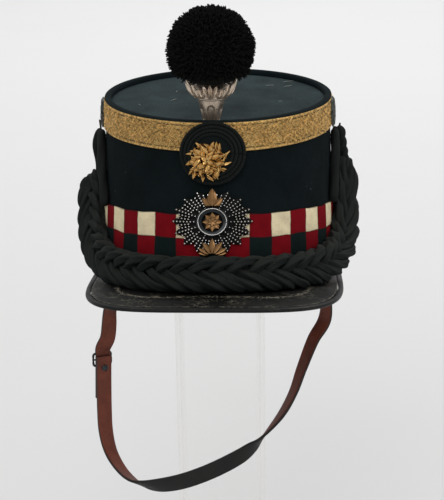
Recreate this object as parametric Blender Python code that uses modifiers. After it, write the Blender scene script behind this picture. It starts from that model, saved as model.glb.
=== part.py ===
"""Shako hat on a clear display stand.

The stand is a disc and a tube. The crown of the hat rests with its top on the tube and
leans back, so that its flat top is level. Metres, +Z up, the front of the hat faces -Y,
and the origin is the centre of the stand's underside.
"""
import math

import bmesh
import bpy
from mathutils import Vector

# Clearance between pieces that touch
GAP = 0.0003

# Display stand: a clear disc and a clear tube
STAND_BASE_RADIUS = 0.080
STAND_BASE_THICKNESS = 0.010
STAND_BASE_EDGE = 0.0015
TUBE_RADIUS = 0.03175
TUBE_WALL = 0.003
TUBE_HEIGHT = 0.355

# Crown: two ovals joined by a straight wall, in the hat's own frame
LEAN = math.radians(10.5)
BASE_HALF_WIDTH = 0.079
BASE_HALF_LENGTH = 0.101
TOP_HALF_WIDTH = 0.076
TOP_HALF_LENGTH = 0.082
FRONT_HEIGHT = 0.1058
CROWN_WALL = 0.0025
CROWN_STATIONS = 56

# Flat top, sunk inside a rounded welt
TOP_RECESS = 0.0038
TOP_THICKNESS = 0.0025
WELT_WIDTH = 0.0034
WELT_HEIGHT = 0.0032

# Bands sewn round the wall
LACE_DROP = 0.0016
LACE_WIDTH = 0.0184
LACE_THICKNESS = 0.0010
DICED_RISE = 0.003
DICED_ROW = 0.015
DICED_ROWS = 3
DICED_THICKNESS = 0.0012

# Peak
PEAK_HALF_WIDTH = 0.084
PEAK_REACH = 0.1345
PEAK_SIDE = 0.020
PEAK_SQUARENESS = 4.3
PEAK_DROP = 0.0057
PEAK_THICKNESS = 0.0020
PEAK_CROWN = 0.0012
PEAK_TUCK = 0.0020
PEAK_END_TURN = math.radians(78)
PEAK_STATIONS = 34
BINDING_DEPTH = 0.0036
BINDING_THICKNESS = 0.0027

# Cord boss at the front, with a gilt leaf ornament
BOSS_RISE = 0.0865
BOSS_RADIUS = 0.0203
BOSS_HEIGHT = 0.0046
BOSS_CORDS = 4
BOSS_CORD_WIDTH = 0.0022
BOSS_CORD_RELIEF = 0.0008
ORNAMENT_DROP = 0.0052
ORNAMENT_ASIDE = 0.0028
ORNAMENT_HALF_WIDTH = 0.0142
ORNAMENT_HALF_HEIGHT = 0.0136
ORNAMENT_HEIGHT = 0.0030
ORNAMENT_LEAVES = 11

# Rayed plate with its ring, rosette, finial and spray
PLATE_RISE = 0.0433
PLATE_HALF_WIDTH = 0.0250
PLATE_HALF_HEIGHT = 0.0206
PLATE_RAYS = 16
PLATE_EDGE = 0.0008
PLATE_HEIGHT = 0.0024
RING_RADIUS = 0.0094
RING_WIDTH = 0.0026
RING_HEIGHT = 0.0024
ROSETTE_RADIUS = 0.0058
ROSETTE_HEIGHT = 0.0026
FINIAL_HALF_WIDTH = 0.0066
FINIAL_HALF_HEIGHT = 0.0060
SPRAY_HALF_WIDTH = 0.0092
SPRAY_HALF_HEIGHT = 0.0056
MOTIF_HEIGHT = 0.0024

# Tuft: socket stem, leaf cup and worsted ball
TUFT_X = -0.0012
TUFT_Y = -0.050
STEM_FOOT_RADIUS = 0.0046
STEM_TOP_RADIUS = 0.0083
STEM_HEIGHT = 0.0167
STEM_FLUTES = 8
CUP_FOOT_RADIUS = 0.0102
CUP_TOP_RADIUS = 0.0150
CUP_HEIGHT = 0.0088
CUP_WALL = 0.0012
CUP_LEAVES = 10
BALL_RADIUS = 0.0283
BALL_SEAT = 0.0207
LOCK_DEPTH = 0.0016
LOCKS = 150

# Plaited cords along the peak and up both sides
PLAIT_OUT = 0.0088
PLAIT_SWING = 0.0076
PLAIT_LOOSE_TURN = math.radians(66)
PLAIT_LOOSE_SPAN = math.radians(26)
PLAIT_LOOSENESS = 0.22
PLAIT_SIDE_OUT = 0.0024
PLAIT_LIFT = 0.0030
PLAIT_STRAND = 0.0042
PLAIT_CORE = 0.0040
PLAIT_PERIOD = 0.033
PLAIT_STATION = 0.0045
PLAIT_SIDES = 10
PLAIT_END_TAPER = 0.62
PLAIT_LEFT_END = 0.063
PLAIT_RIGHT_END = 0.076

# Cord loops that end the plait, and the wire hooks that hold them
LOOP_TURN = math.radians(94)
LOOP_CORD_RADIUS = 0.0018
LOOP_HALF_WIDTH = 0.0042
LOOP_SQUARENESS = 0.85
LOOP_SLACK = 0.0009
HOOK_RADIUS = 0.0007
HOOK_LENGTH = 0.0140
HOOK_DROP = 0.0095
# Bend of the hook: share of its length above its foot, and share of the crook's reach
HOOK_BEND = (
    (0.00, 0.55),
    (0.06, 0.88),
    (0.21, 1.02),
    (0.57, 1.10),
    (1.00, 1.26),
)

# Side rosettes on the lace band
SIDE_ROSETTE_RADIUS = 0.0100
SIDE_ROSETTE_HEIGHT = 0.0028
SIDE_ROSETTE_LOBES = 8

# Chin strap, buckle, stud and inner rivets
STRAP_WIDTH = 0.0110
STRAP_THICKNESS = 0.0020
STRAP_TURN = math.radians(92)
BUCKLE_WIDTH = 0.0150
BUCKLE_LENGTH = 0.0115
BUCKLE_WIRE = 0.0016
BUCKLE_THICKNESS = 0.0018
STUD_RADIUS = 0.0024
STUD_HEIGHT = 0.0009
RIVET_RADIUS = 0.0038
RIVET_HEIGHT = 0.0012

# Route of the plait's centre on the wall, from the front to the right side
# Columns: turn from the front in degrees, rise above the base edge in metres
PLAIT_ROUTE = (
    (0, 0.0110),
    (18, 0.0108),
    (34, 0.0107),
    (47, 0.0114),
    (58, 0.0136),
    (67, 0.0178),
    (75, 0.0245),
    (81, 0.0360),
    (86, 0.0500),
    (89, 0.0620),
    (92, 0.0760),
)

# Route of the strap's centre, from the centre of the hat's base edge, level axes
# Columns: x, y, z in metres, then the turn of the inner face in degrees: at 0 it looks to
# the front, at 90 into the strap's loop, and at 180 to the back
STRAP_SHORT_ROUTE = (
    (-0.0775, 0.0000, -0.0335, 44),
    (-0.0783, 0.0000, -0.0433, 30),
    (-0.0797, 0.0000, -0.0530, 26),
)
STRAP_LONG_ROUTE = (
    (-0.0828, 0.0000, -0.0670, 26),
    (-0.0835, 0.0000, -0.0855, 26),
    (-0.0840, 0.0000, -0.1089, 28),
    (-0.0833, -0.0020, -0.1254, 34),
    (-0.0793, -0.0090, -0.1379, 50),
    (-0.0713, -0.0200, -0.1458, 69),
    (-0.0616, -0.0320, -0.1488, 90),
    (-0.0524, -0.0400, -0.1480, 122),
    (-0.0412, -0.0470, -0.1446, 152),
    (-0.0268, -0.0530, -0.1388, 170),
    (-0.0127, -0.0560, -0.1323, 176),
    (0.0012, -0.0570, -0.1252, 172),
    (0.0150, -0.0560, -0.1175, 156),
    (0.0232, -0.0530, -0.1122, 132),
    (0.0300, -0.0500, -0.1065, 98),
    (0.0430, -0.0400, -0.0938, 74),
    (0.0516, -0.0290, -0.0814, 66),
    (0.0593, -0.0170, -0.0685, 57),
    (0.0678, -0.0070, -0.0515, 48),
    (0.0749, -0.0010, -0.0373, 42),
)
STRAP_VIEW = (0.0, -1.0, 0.33)
STRAP_STATION = 0.0065
STRAP_END_RISE = 0.022
STRAP_SEAT = 0.0006
STRAP_TURN_DROP = 0.014
TAIL_LENGTH = 0.0325
TAIL_LEAD = 0.0050

# Worked out from the sizes above
TOP_CENTRE_HEIGHT = FRONT_HEIGHT + TOP_HALF_LENGTH * math.sin(LEAN)
RIM_LEVEL = TOP_CENTRE_HEIGHT * math.cos(LEAN)
TOP_UNDERSIDE_LEVEL = RIM_LEVEL - TOP_RECESS - TOP_THICKNESS
HAT_HEIGHT = STAND_BASE_THICKNESS + TUBE_HEIGHT + 2 * GAP - TOP_UNDERSIDE_LEVEL
BAND_SEAT = GAP
LACE_FACE = BAND_SEAT + LACE_THICKNESS
DICED_FACE = BAND_SEAT + DICED_THICKNESS


def clear_scene():
    """Remove every object of the open scene."""
    for old in list(bpy.data.objects):
        bpy.data.objects.remove(old, do_unlink=True)


def finish_of(name, colour, roughness, metallic=0.0, clear=False):
    """A plain Principled finish."""
    material = bpy.data.materials.new(name)
    material.use_nodes = True
    shader = material.node_tree.nodes["Principled BSDF"]
    shader.inputs["Base Color"].default_value = (*colour, 1.0)
    shader.inputs["Roughness"].default_value = roughness
    shader.inputs["Metallic"].default_value = metallic
    if clear:
        shader.inputs["Transmission Weight"].default_value = 1.0
    material.diffuse_color = (*colour, 1.0)
    return material


def add_object(name, mesh, material, parent):
    """Put a mesh in the hat's collection under its own name."""
    piece = bpy.data.objects.new(name, mesh)
    bpy.data.collections["shako_hat"].objects.link(piece)
    mesh.materials.append(material)
    piece.parent = parent
    return piece


def adopt(piece, name, material, parent):
    """Name an object made by an operator and move it to the hat's collection."""
    for collection in list(piece.users_collection):
        collection.objects.unlink(piece)
    bpy.data.collections["shako_hat"].objects.link(piece)
    piece.name = name
    piece.data.name = name
    piece.data.materials.append(material)
    piece.parent = parent
    return piece


def loft(name, rings, material, parent, joined=False):
    """Skin rows of points. A row of one point is a pole, and open ends are capped."""
    build = bmesh.new()
    rows = [[build.verts.new(point) for point in ring] for ring in rings]
    pairs = list(zip(rows, rows[1:]))
    if joined:
        pairs.append((rows[-1], rows[0]))
    for lower, upper in pairs:
        sides = max(len(lower), len(upper))
        for side in range(sides):
            after = (side + 1) % sides
            corners = (
                lower[side % len(lower)],
                lower[after % len(lower)],
                upper[after % len(upper)],
                upper[side % len(upper)],
            )
            build.faces.new(list(dict.fromkeys(corners)))
    if not joined:
        for row in (rows[0], rows[-1]):
            if len(row) > 2:
                build.faces.new(row)
    bmesh.ops.recalc_face_normals(build, faces=build.faces)
    mesh = bpy.data.meshes.new(name)
    build.to_mesh(mesh)
    build.free()
    mesh.shade_smooth()
    mesh.set_sharp_from_angle(angle=math.radians(35))
    return add_object(name, mesh, material, parent)


def mix(start, end, share):
    """The value at a share of the way from start to end."""
    return start + (end - start) * share


def base_point(turn):
    """A point on the crown's base edge, turn measured from the front."""
    return Vector((BASE_HALF_WIDTH * math.sin(turn), -BASE_HALF_LENGTH * math.cos(turn), 0.0))


def rim_point(turn):
    """A point on the crown's upper edge, whose plane leans forward by LEAN."""
    along = -TOP_HALF_LENGTH * math.cos(turn)
    return Vector((
        TOP_HALF_WIDTH * math.sin(turn),
        along * math.cos(LEAN),
        TOP_CENTRE_HEIGHT + along * math.sin(LEAN),
    ))


def slant(turn):
    """The wall's length from the base edge to the rim."""
    return (rim_point(turn) - base_point(turn)).length


def wall_normal(turn, share):
    """The outward direction of the wall."""
    step = 0.001
    before = base_point(turn - step).lerp(rim_point(turn - step), share)
    after = base_point(turn + step).lerp(rim_point(turn + step), share)
    return (after - before).cross(rim_point(turn) - base_point(turn)).normalized()


def wall_point(turn, share, out):
    """A point at a share of the wall's slant, out from the wall's outer face."""
    on_wall = base_point(turn).lerp(rim_point(turn), share)
    return on_wall + wall_normal(turn, share) * out


def footed(turn, out):
    """A point in the plane of the base edge, out from the wall."""
    normal = wall_normal(turn, 0.0)
    return base_point(turn) + Vector((normal.x, normal.y, 0.0)).normalized() * out


def risen(turn, rise, out):
    """A point on the wall, rise above the base edge."""
    return wall_point(turn, rise / slant(turn), out)


def dropped(turn, drop, out):
    """A point on the wall, drop below the rim."""
    return wall_point(turn, 1.0 - drop / slant(turn), out)


def sunk(turn, depth, out):
    """A point near the rim at a level depth below it, out from the wall in the level plane."""
    level = -base_point(turn).y * math.sin(LEAN)
    point = wall_point(turn, 1.0 - depth / (RIM_LEVEL - level), 0.0)
    outward = wall_normal(turn, 1.0)
    up = Vector((0.0, -math.sin(LEAN), math.cos(LEAN)))
    flat = outward - up * outward.dot(up)
    return point + flat.normalized() * out


def turns(count):
    """Equal turns round the crown."""
    return [2.0 * math.pi * index / count for index in range(count)]


def across_front(x, rise, out):
    """A point on the front of the wall, x to the right of its middle."""
    half_width = mix(BASE_HALF_WIDTH, TOP_HALF_WIDTH, rise / slant(0.0))
    return risen(math.asin(x / half_width), rise, out)


def raised_on_front(name, middle, outline, seat, layers, segments, material, parent, wide=True):
    """A relief that follows the front wall, with its back at seat.

    middle is (across, rise), outline gives (across, up) for an angle, and layers are rows
    of share and out.
    """
    x, rise = middle
    back = [(share, seat) for share in ((0.0, 0.34, 0.67, 1.0) if wide else (0.0, 1.0))]
    rings = []
    for share, out in back + list(layers):
        if share == 0.0:
            rings.append([across_front(x, rise, out)])
            continue
        ring = []
        for angle in turns(segments):
            across, up = outline(angle)
            ring.append(across_front(x + across * share, rise + up * share, out))
        rings.append(ring)
    return loft(name, rings, material, parent)


def build_stand():
    """The clear disc and tube that hold the hat."""
    clear = finish_of("clear_acrylic", (0.86, 0.88, 0.88), 0.08, clear=True)
    bpy.ops.mesh.primitive_cylinder_add(
        vertices=48,
        radius=STAND_BASE_RADIUS,
        depth=STAND_BASE_THICKNESS,
        location=(0.0, 0.0, STAND_BASE_THICKNESS / 2),
    )
    disc = adopt(bpy.context.object, "stand_base", clear, None)
    edge = disc.modifiers.new("edge", "BEVEL")
    edge.width = STAND_BASE_EDGE
    edge.segments = 1
    edge.limit_method = "ANGLE"
    tube_foot = STAND_BASE_THICKNESS + GAP
    inner = TUBE_RADIUS - TUBE_WALL
    outline = (
        (TUBE_RADIUS, tube_foot + TUBE_HEIGHT),
        (TUBE_RADIUS, tube_foot),
        (inner, tube_foot),
        (inner, tube_foot + TUBE_HEIGHT),
    )
    mesh = bpy.data.meshes.new("stand_tube")
    corners = [(radius, 0.0, height) for radius, height in outline]
    mesh.from_pydata(corners, [(0, 1), (1, 2), (2, 3), (3, 0)], [])
    tube = add_object("stand_tube", mesh, clear, None)
    turned = tube.modifiers.new("turned", "SCREW")
    turned.steps = 48
    turned.render_steps = 48
    turned.use_merge_vertices = True
    turned.merge_threshold = 0.00001


def build_crown(parent):
    """Felt wall, flat top and the welt round it."""
    felt = finish_of("blue_black_felt", (0.006, 0.010, 0.012), 0.95)
    wall = []
    for turn in turns(CROWN_STATIONS):
        wall.append([
            footed(turn, 0.0),
            sunk(turn, WELT_HEIGHT + GAP, 0.0),
            sunk(turn, WELT_HEIGHT + GAP, -CROWN_WALL),
            footed(turn, -CROWN_WALL),
        ])
    loft("crown_shell", wall, felt, parent, joined=True)

    top_cloth = finish_of("top_cloth", (0.028, 0.034, 0.039), 0.95)
    reach = -(CROWN_WALL + GAP)
    disc = []
    for depth in (TOP_RECESS + TOP_THICKNESS, TOP_RECESS):
        disc.append([sunk(turn, depth, reach) for turn in turns(CROWN_STATIONS)])
    loft("crown_top", disc, top_cloth, parent)

    welt_cloth = finish_of("welt_cloth", (0.010, 0.014, 0.015), 0.9)
    section = (
        (0.0, WELT_HEIGHT),
        (0.0, WELT_HEIGHT * 0.35),
        (-WELT_WIDTH * 0.25, 0.0),
        (-WELT_WIDTH * 0.72, 0.0),
        (-WELT_WIDTH, WELT_HEIGHT * 0.35),
        (-WELT_WIDTH, WELT_HEIGHT),
    )
    welt = [[sunk(turn, depth, out) for out, depth in section] for turn in turns(CROWN_STATIONS)]
    loft("rim_welt", welt, welt_cloth, parent, joined=True)


def build_bands(parent):
    """Gold lace below the rim and the diced band above the base edge."""
    gold = finish_of("gold_wire_lace", (0.45, 0.29, 0.10), 0.45, 0.9)
    lace = []
    for turn in turns(CROWN_STATIONS):
        lace.append([
            dropped(turn, LACE_DROP, BAND_SEAT),
            dropped(turn, LACE_DROP, LACE_FACE),
            dropped(turn, LACE_DROP + LACE_WIDTH, LACE_FACE),
            dropped(turn, LACE_DROP + LACE_WIDTH, BAND_SEAT),
        ])
    loft("lace_band", lace, gold, parent, joined=True)

    diced = finish_of("diced_wool", (0.30, 0.02, 0.03), 0.95)
    top = DICED_RISE + DICED_ROW * DICED_ROWS
    band = []
    for turn in turns(CROWN_STATIONS):
        band.append([
            risen(turn, DICED_RISE, BAND_SEAT),
            risen(turn, DICED_RISE, DICED_FACE),
            risen(turn, top, DICED_FACE),
            risen(turn, top, BAND_SEAT),
        ])
    loft("diced_band", band, diced, parent, joined=True)


def peak_edge(bearing):
    """The peak's outer edge at a bearing from its centre."""
    across = abs(math.sin(bearing)) / PEAK_HALF_WIDTH
    ahead = abs(math.cos(bearing)) / (PEAK_REACH - PEAK_SIDE)
    power = PEAK_SQUARENESS
    radius = (across ** power + ahead ** power) ** (-1.0 / power)
    forward = radius * math.cos(bearing)
    down = PEAK_DROP * forward / (PEAK_REACH - PEAK_SIDE)
    return Vector((
        radius * math.sin(bearing),
        -PEAK_SIDE - forward,
        -GAP - PEAK_THICKNESS / 2 - down,
    ))


def peak_bearings():
    """Bearings from one end of the peak to the other."""
    last = PEAK_STATIONS - 1
    return [math.radians(mix(-90.0, 90.0, index / last)) for index in range(PEAK_STATIONS)]


def peak_root(bearing):
    """The peak's inner edge, tucked under the crown's base edge."""
    turn = bearing / math.radians(90.0) * PEAK_END_TURN
    return footed(turn, -PEAK_TUCK) - Vector((0.0, 0.0, GAP + PEAK_THICKNESS / 2))


def peak_lift(root, edge, share):
    """How far the peak's middle is arched above a straight line, less where it is narrow."""
    width = (edge - root).length / (PEAK_REACH - BASE_HALF_LENGTH)
    return PEAK_CROWN * math.sin(math.pi * min(share, 1.0)) * min(1.0, width) ** 2


def build_peak(parent):
    """Leather peak, and the bound roll along its edge."""
    leather = finish_of("crazed_peak_leather", (0.012, 0.012, 0.011), 0.35)
    bound = finish_of("bound_edge_leather", (0.014, 0.014, 0.013), 0.4)
    half = PEAK_THICKNESS / 2
    roll_half = BINDING_THICKNESS / 2
    section = (
        (BINDING_DEPTH, roll_half * 0.78),
        (BINDING_DEPTH * 0.60, roll_half),
        (BINDING_DEPTH * 0.15, roll_half * 0.70),
        (0.0, 0.0),
        (BINDING_DEPTH * 0.15, -roll_half * 0.70),
        (BINDING_DEPTH * 0.60, -roll_half),
        (BINDING_DEPTH, -roll_half * 0.78),
    )
    slabs = []
    rolls = []
    for bearing in peak_bearings():
        root = peak_root(bearing)
        edge = peak_edge(bearing)
        length = (edge - root).length
        leather_end = 1.0 - (BINDING_DEPTH + GAP) / length
        top = []
        bottom = []
        for step in (0.0, 0.33, 0.67, 1.0):
            share = leather_end * step
            middle = root.lerp(edge, share) + Vector((0.0, 0.0, peak_lift(root, edge, share)))
            top.append(middle + Vector((0.0, 0.0, half)))
            bottom.append(middle - Vector((0.0, 0.0, half)))
        slabs.append(top + bottom[::-1])
        roll = []
        for inset, height in section:
            share = 1.0 - inset / length
            lift = peak_lift(root, edge, share)
            roll.append(root.lerp(edge, share) + Vector((0.0, 0.0, lift + height)))
        rolls.append(roll)
    loft("peak", slabs, leather, parent)
    loft("peak_binding", rolls, bound, parent)


def build_boss(parent):
    """Corded boss and its gilt leaf ornament."""
    cord = finish_of("black_boss_cord", (0.008, 0.009, 0.009), 0.8)
    back = LACE_FACE + GAP
    field = back + BOSS_HEIGHT

    def disc(angle):
        return BOSS_RADIUS * math.cos(angle), BOSS_RADIUS * math.sin(angle)

    layers = [(1.0, back + BOSS_HEIGHT * 0.4)]
    for index in range(BOSS_CORDS):
        crest = BOSS_RADIUS - BOSS_CORD_WIDTH * (index + 0.5)
        valley = BOSS_RADIUS - BOSS_CORD_WIDTH * (index + 1.0)
        step = BOSS_HEIGHT * (0.5 + 0.5 * (index + 1) / BOSS_CORDS)
        layers.append((crest / BOSS_RADIUS, back + step))
        layers.append((valley / BOSS_RADIUS, back + step - BOSS_CORD_RELIEF))
    layers.append((0.0, field - BOSS_CORD_RELIEF))
    raised_on_front("boss", (0.0, BOSS_RISE), disc, back, layers, 28, cord, parent)

    gilt = finish_of("pale_gilt", (0.62, 0.43, 0.17), 0.3, 1.0)
    seat = field + GAP

    def leaves(angle):
        tooth = 0.5 + 0.5 * math.cos(ORNAMENT_LEAVES * (angle - math.pi / 2))
        reach = 0.70 + 0.30 * tooth
        across = ORNAMENT_HALF_WIDTH * reach * math.cos(angle)
        return across, ORNAMENT_HALF_HEIGHT * reach * math.sin(angle)

    middle = (-ORNAMENT_ASIDE, BOSS_RISE - ORNAMENT_DROP)

    relief = (
        (1.0, seat + ORNAMENT_HEIGHT * 0.35),
        (0.62, seat + ORNAMENT_HEIGHT * 0.75),
        (0.40, seat + ORNAMENT_HEIGHT * 0.55),
        (0.22, seat + ORNAMENT_HEIGHT),
        (0.0, seat + ORNAMENT_HEIGHT),
    )
    raised_on_front("boss_ornament", middle, leaves, seat, relief, ORNAMENT_LEAVES * 4, gilt, parent)


def build_plate(parent):
    """Rayed silver plate with a dark ring and gilt motifs."""
    silver = finish_of("cut_silver", (0.42, 0.42, 0.42), 0.3, 1.0)
    gilt = finish_of("plate_gilt", (0.50, 0.33, 0.12), 0.35, 1.0)
    enamel = finish_of("dark_ring_enamel", (0.02, 0.022, 0.025), 0.25, 0.6)
    back = DICED_FACE + GAP
    face = back + PLATE_HEIGHT

    def rays(angle):
        tooth = abs((angle * PLATE_RAYS / (2 * math.pi)) % 1.0 - 0.5) * 2.0
        reach = 0.80 + 0.20 * tooth
        return PLATE_HALF_WIDTH * reach * math.cos(angle), PLATE_HALF_HEIGHT * reach * math.sin(angle)

    star = (
        (1.0, back + PLATE_EDGE),
        (0.70, mix(back, face, 0.75)),
        (0.42, face),
        (0.0, face),
    )
    raised_on_front("plate_star", (0.0, PLATE_RISE), rays, back, star, PLATE_RAYS * 4, silver, parent)

    seat = face + GAP
    section = (
        (RING_RADIUS - RING_WIDTH, seat),
        (RING_RADIUS, seat),
        (RING_RADIUS, seat + RING_HEIGHT * 0.55),
        (RING_RADIUS - RING_WIDTH * 0.4, seat + RING_HEIGHT),
        (RING_RADIUS - RING_WIDTH, seat + RING_HEIGHT * 0.6),
    )
    rings = []
    for radius, out in section:
        rings.append([
            across_front(radius * math.cos(angle), PLATE_RISE + radius * math.sin(angle), out)
            for angle in turns(28)
        ])
    loft("plate_ring", rings, enamel, parent, joined=True)

    def petals(angle):
        reach = 0.86 + 0.14 * math.cos(8 * angle)
        return ROSETTE_RADIUS * reach * math.cos(angle), ROSETTE_RADIUS * reach * math.sin(angle)

    rosette = (
        (1.0, seat + ROSETTE_HEIGHT * 0.5),
        (0.6, seat + ROSETTE_HEIGHT),
        (0.0, seat + ROSETTE_HEIGHT * 0.85),
    )
    centre = (0.0, PLATE_RISE)
    raised_on_front("plate_rosette", centre, petals, seat, rosette, 24, gilt, parent, wide=False)

    def bud(angle):
        reach = 0.80 + 0.20 * math.cos(3 * (angle - math.pi / 2))
        return FINIAL_HALF_WIDTH * reach * math.cos(angle), FINIAL_HALF_HEIGHT * reach * math.sin(angle)

    def spray(angle):
        reach = 0.84 + 0.16 * math.cos(5 * (angle + math.pi / 2))
        return SPRAY_HALF_WIDTH * reach * math.cos(angle), SPRAY_HALF_HEIGHT * reach * math.sin(angle)

    motif = (
        (1.0, seat + MOTIF_HEIGHT * 0.5),
        (0.55, seat + MOTIF_HEIGHT),
        (0.0, seat + MOTIF_HEIGHT * 0.9),
    )
    bud_rise = PLATE_RISE + RING_RADIUS + GAP + FINIAL_HALF_HEIGHT
    spray_rise = PLATE_RISE - RING_RADIUS - GAP - SPRAY_HALF_HEIGHT
    raised_on_front("plate_finial", (0.0, bud_rise), bud, seat, motif, 24, gilt, parent, wide=False)
    raised_on_front("plate_spray", (0.0, spray_rise), spray, seat, motif, 30, gilt, parent, wide=False)


def build_tuft(parent):
    """Fluted socket stem, leaf cup and the worsted ball, on level axes."""
    stem_silver = finish_of("stem_silver", (0.42, 0.36, 0.27), 0.35, 1.0)
    profile = ((0.0, 0.0), (1.0, 0.0), (1.0, 0.20), (1.0, 0.55), (1.0, 0.85), (1.0, 1.0), (0.0, 1.0))
    rings = []
    for share, height in profile:
        z = GAP + STEM_HEIGHT * height
        if share == 0.0:
            rings.append([(0.0, 0.0, z)])
            continue
        radius = mix(STEM_FOOT_RADIUS, STEM_TOP_RADIUS, height ** 1.3)
        ring = []
        for angle in turns(STEM_FLUTES * 4):
            fluted = radius * (1.0 - 0.07 * (0.5 + 0.5 * math.cos(STEM_FLUTES * angle)))
            ring.append((fluted * math.cos(angle), fluted * math.sin(angle), z))
        rings.append(ring)
    loft("socket_stem", rings, stem_silver, parent)

    cup_silver = finish_of("cup_silver_gilt", (0.30, 0.25, 0.18), 0.4, 1.0)
    foot = STEM_HEIGHT + 2 * GAP
    cup_profile = (
        (0.0, 0.0, 0.0),
        (CUP_FOOT_RADIUS * 0.92, 0.0, 0.0),
        (CUP_FOOT_RADIUS, 0.10, 0.0),
        (mix(CUP_FOOT_RADIUS, CUP_TOP_RADIUS, 0.62), 0.50, 0.0),
        (CUP_TOP_RADIUS, 0.78, 0.22),
        (CUP_TOP_RADIUS - CUP_WALL, 0.78, 0.22),
        (mix(CUP_FOOT_RADIUS, CUP_TOP_RADIUS, 0.62) - CUP_WALL, 0.50, 0.0),
        (CUP_FOOT_RADIUS - CUP_WALL, 0.22, 0.0),
        (0.0, 0.12, 0.0),
    )
    rings = []
    for radius, height, leaf in cup_profile:
        if radius == 0.0:
            rings.append([(0.0, 0.0, foot + CUP_HEIGHT * height)])
            continue
        ring = []
        for angle in turns(CUP_LEAVES * 3):
            wave = leaf * (0.5 + 0.5 * math.cos(CUP_LEAVES * angle))
            z = foot + CUP_HEIGHT * (height + wave)
            ring.append((radius * math.cos(angle), radius * math.sin(angle), z))
        rings.append(ring)
    loft("leaf_cup", rings, cup_silver, parent)

    worsted = finish_of("black_worsted", (0.004, 0.004, 0.004), 0.95)
    locks = []
    for index in range(LOCKS):
        height = 1.0 - 2.0 * (index + 0.5) / LOCKS
        angle = index * math.pi * (3.0 - math.sqrt(5.0))
        flat = math.sqrt(1.0 - height * height)
        locks.append(Vector((flat * math.cos(angle), flat * math.sin(angle), height)))
    spread = math.sqrt(4.0 * math.pi / LOCKS) / 2
    build = bmesh.new()
    bmesh.ops.create_icosphere(build, subdivisions=4, radius=1.0)
    for vertex in build.verts:
        away = vertex.co.normalized()
        nearest = min(away.angle(lock) for lock in locks)
        fall = min(1.0, nearest / spread) ** 2
        vertex.co = away * (BALL_RADIUS - LOCK_DEPTH * fall)
        vertex.co.z = max(vertex.co.z, -BALL_SEAT)
    mesh = bpy.data.meshes.new("ball_tuft")
    build.to_mesh(mesh)
    build.free()
    mesh.shade_smooth()
    ball = add_object("ball_tuft", mesh, worsted, parent)
    ball.location.z = foot + CUP_HEIGHT + GAP + BALL_SEAT


def smooth_route(rows, step):
    """Rows of numbers read from a Catmull-Rom curve, about one step apart."""
    points = [Vector(row) for row in rows]
    points.insert(0, points[0] * 2 - points[1])
    points.append(points[-1] * 2 - points[-2])
    fine = []
    for index in range(1, len(points) - 2):
        p0, p1, p2, p3 = points[index - 1:index + 3]
        for part in range(12):
            t = part / 12
            fine.append(0.5 * (
                2 * p1
                + (p2 - p0) * t
                + (2 * p0 - 5 * p1 + 4 * p2 - p3) * t * t
                + (3 * p1 - p0 - 3 * p2 + p3) * t * t * t
            ))
    fine.append(points[-2])
    return spaced(fine, step)


def spaced(fine, step):
    """Points an equal length apart along a fine polyline, measured on their first three values."""
    lengths = [0.0]
    for before, after in zip(fine, fine[1:]):
        lengths.append(lengths[-1] + (Vector(after[:3]) - Vector(before[:3])).length)
    count = max(2, round(lengths[-1] / step))
    even = []
    place = 0
    for index in range(count + 1):
        wanted = lengths[-1] * index / count
        while place < len(lengths) - 2 and lengths[place + 1] < wanted:
            place += 1
        share = (wanted - lengths[place]) / (lengths[place + 1] - lengths[place])
        even.append(fine[place].lerp(fine[place + 1], share))
    return even


def plait_centres():
    """Place, turn and rise of the plait's centre, from its left end to its right end."""
    left = [(-turn, rise) for turn, rise in PLAIT_ROUTE[1:] if rise < PLAIT_LEFT_END]
    left.append((-PLAIT_ROUTE[-1][0], PLAIT_LEFT_END))
    right = [(turn, rise) for turn, rise in PLAIT_ROUTE if rise < PLAIT_RIGHT_END]
    right.append((PLAIT_ROUTE[-1][0], PLAIT_RIGHT_END))
    rows = []
    for turn, rise in left[::-1] + right:
        angle = math.radians(turn)
        out = PLAIT_OUT + PLAIT_SIDE_OUT * math.sin(angle) ** 2
        rows.append((*risen(angle, rise, out), angle, rise))
    return smooth_route(rows, PLAIT_STATION)


def build_plait(parent):
    """One solid with the outer shape of the three-strand plait."""
    worsted = finish_of("dark_plait_worsted", (0.010, 0.010, 0.009), 0.85)
    stations = plait_centres()
    last = len(stations) - 1
    rings = []
    for index, station in enumerate(stations):
        here = Vector(station[:3])
        before = Vector(stations[max(index - 1, 0)][:3])
        after = Vector(stations[min(index + 1, last)][:3])
        along = (after - before).normalized()
        turn = station[3]
        out = wall_normal(turn, station[4] / slant(turn))
        out = (out - along * out.dot(along)).normalized()
        across = out.cross(along)
        phase = 2.0 * math.pi * index * PLAIT_STATION / PLAIT_PERIOD
        end = min(index, last - index) / 3.0
        size = mix(PLAIT_END_TAPER, 1.0, min(1.0, end))
        bend = (abs(turn) - PLAIT_LOOSE_TURN) / PLAIT_LOOSE_SPAN
        swing_here = PLAIT_SWING * (1.0 + PLAIT_LOOSENESS * math.exp(-bend * bend))
        strands = []
        for strand in range(3):
            swing = phase + 2.0 * math.pi * strand / 3
            strands.append((swing_here * math.sin(swing), PLAIT_LIFT * math.sin(2.0 * swing)))
        ring = []
        for angle in turns(PLAIT_SIDES):
            radius = PLAIT_CORE
            for u, w in strands:
                near = u * math.cos(angle) + w * math.sin(angle)
                room = PLAIT_STRAND ** 2 - (u * u + w * w - near * near)
                if room > 0.0:
                    radius = max(radius, near + math.sqrt(room))
            radius *= size
            ring.append(here + across * radius * math.cos(angle) + out * radius * math.sin(angle))
        rings.append(ring)
    loft("plait", rings, worsted, parent)


def beside(turn, aside, rise, out):
    """A point on the side wall, aside along it from a turn."""
    return risen(turn + aside / BASE_HALF_LENGTH, rise, out)


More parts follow.
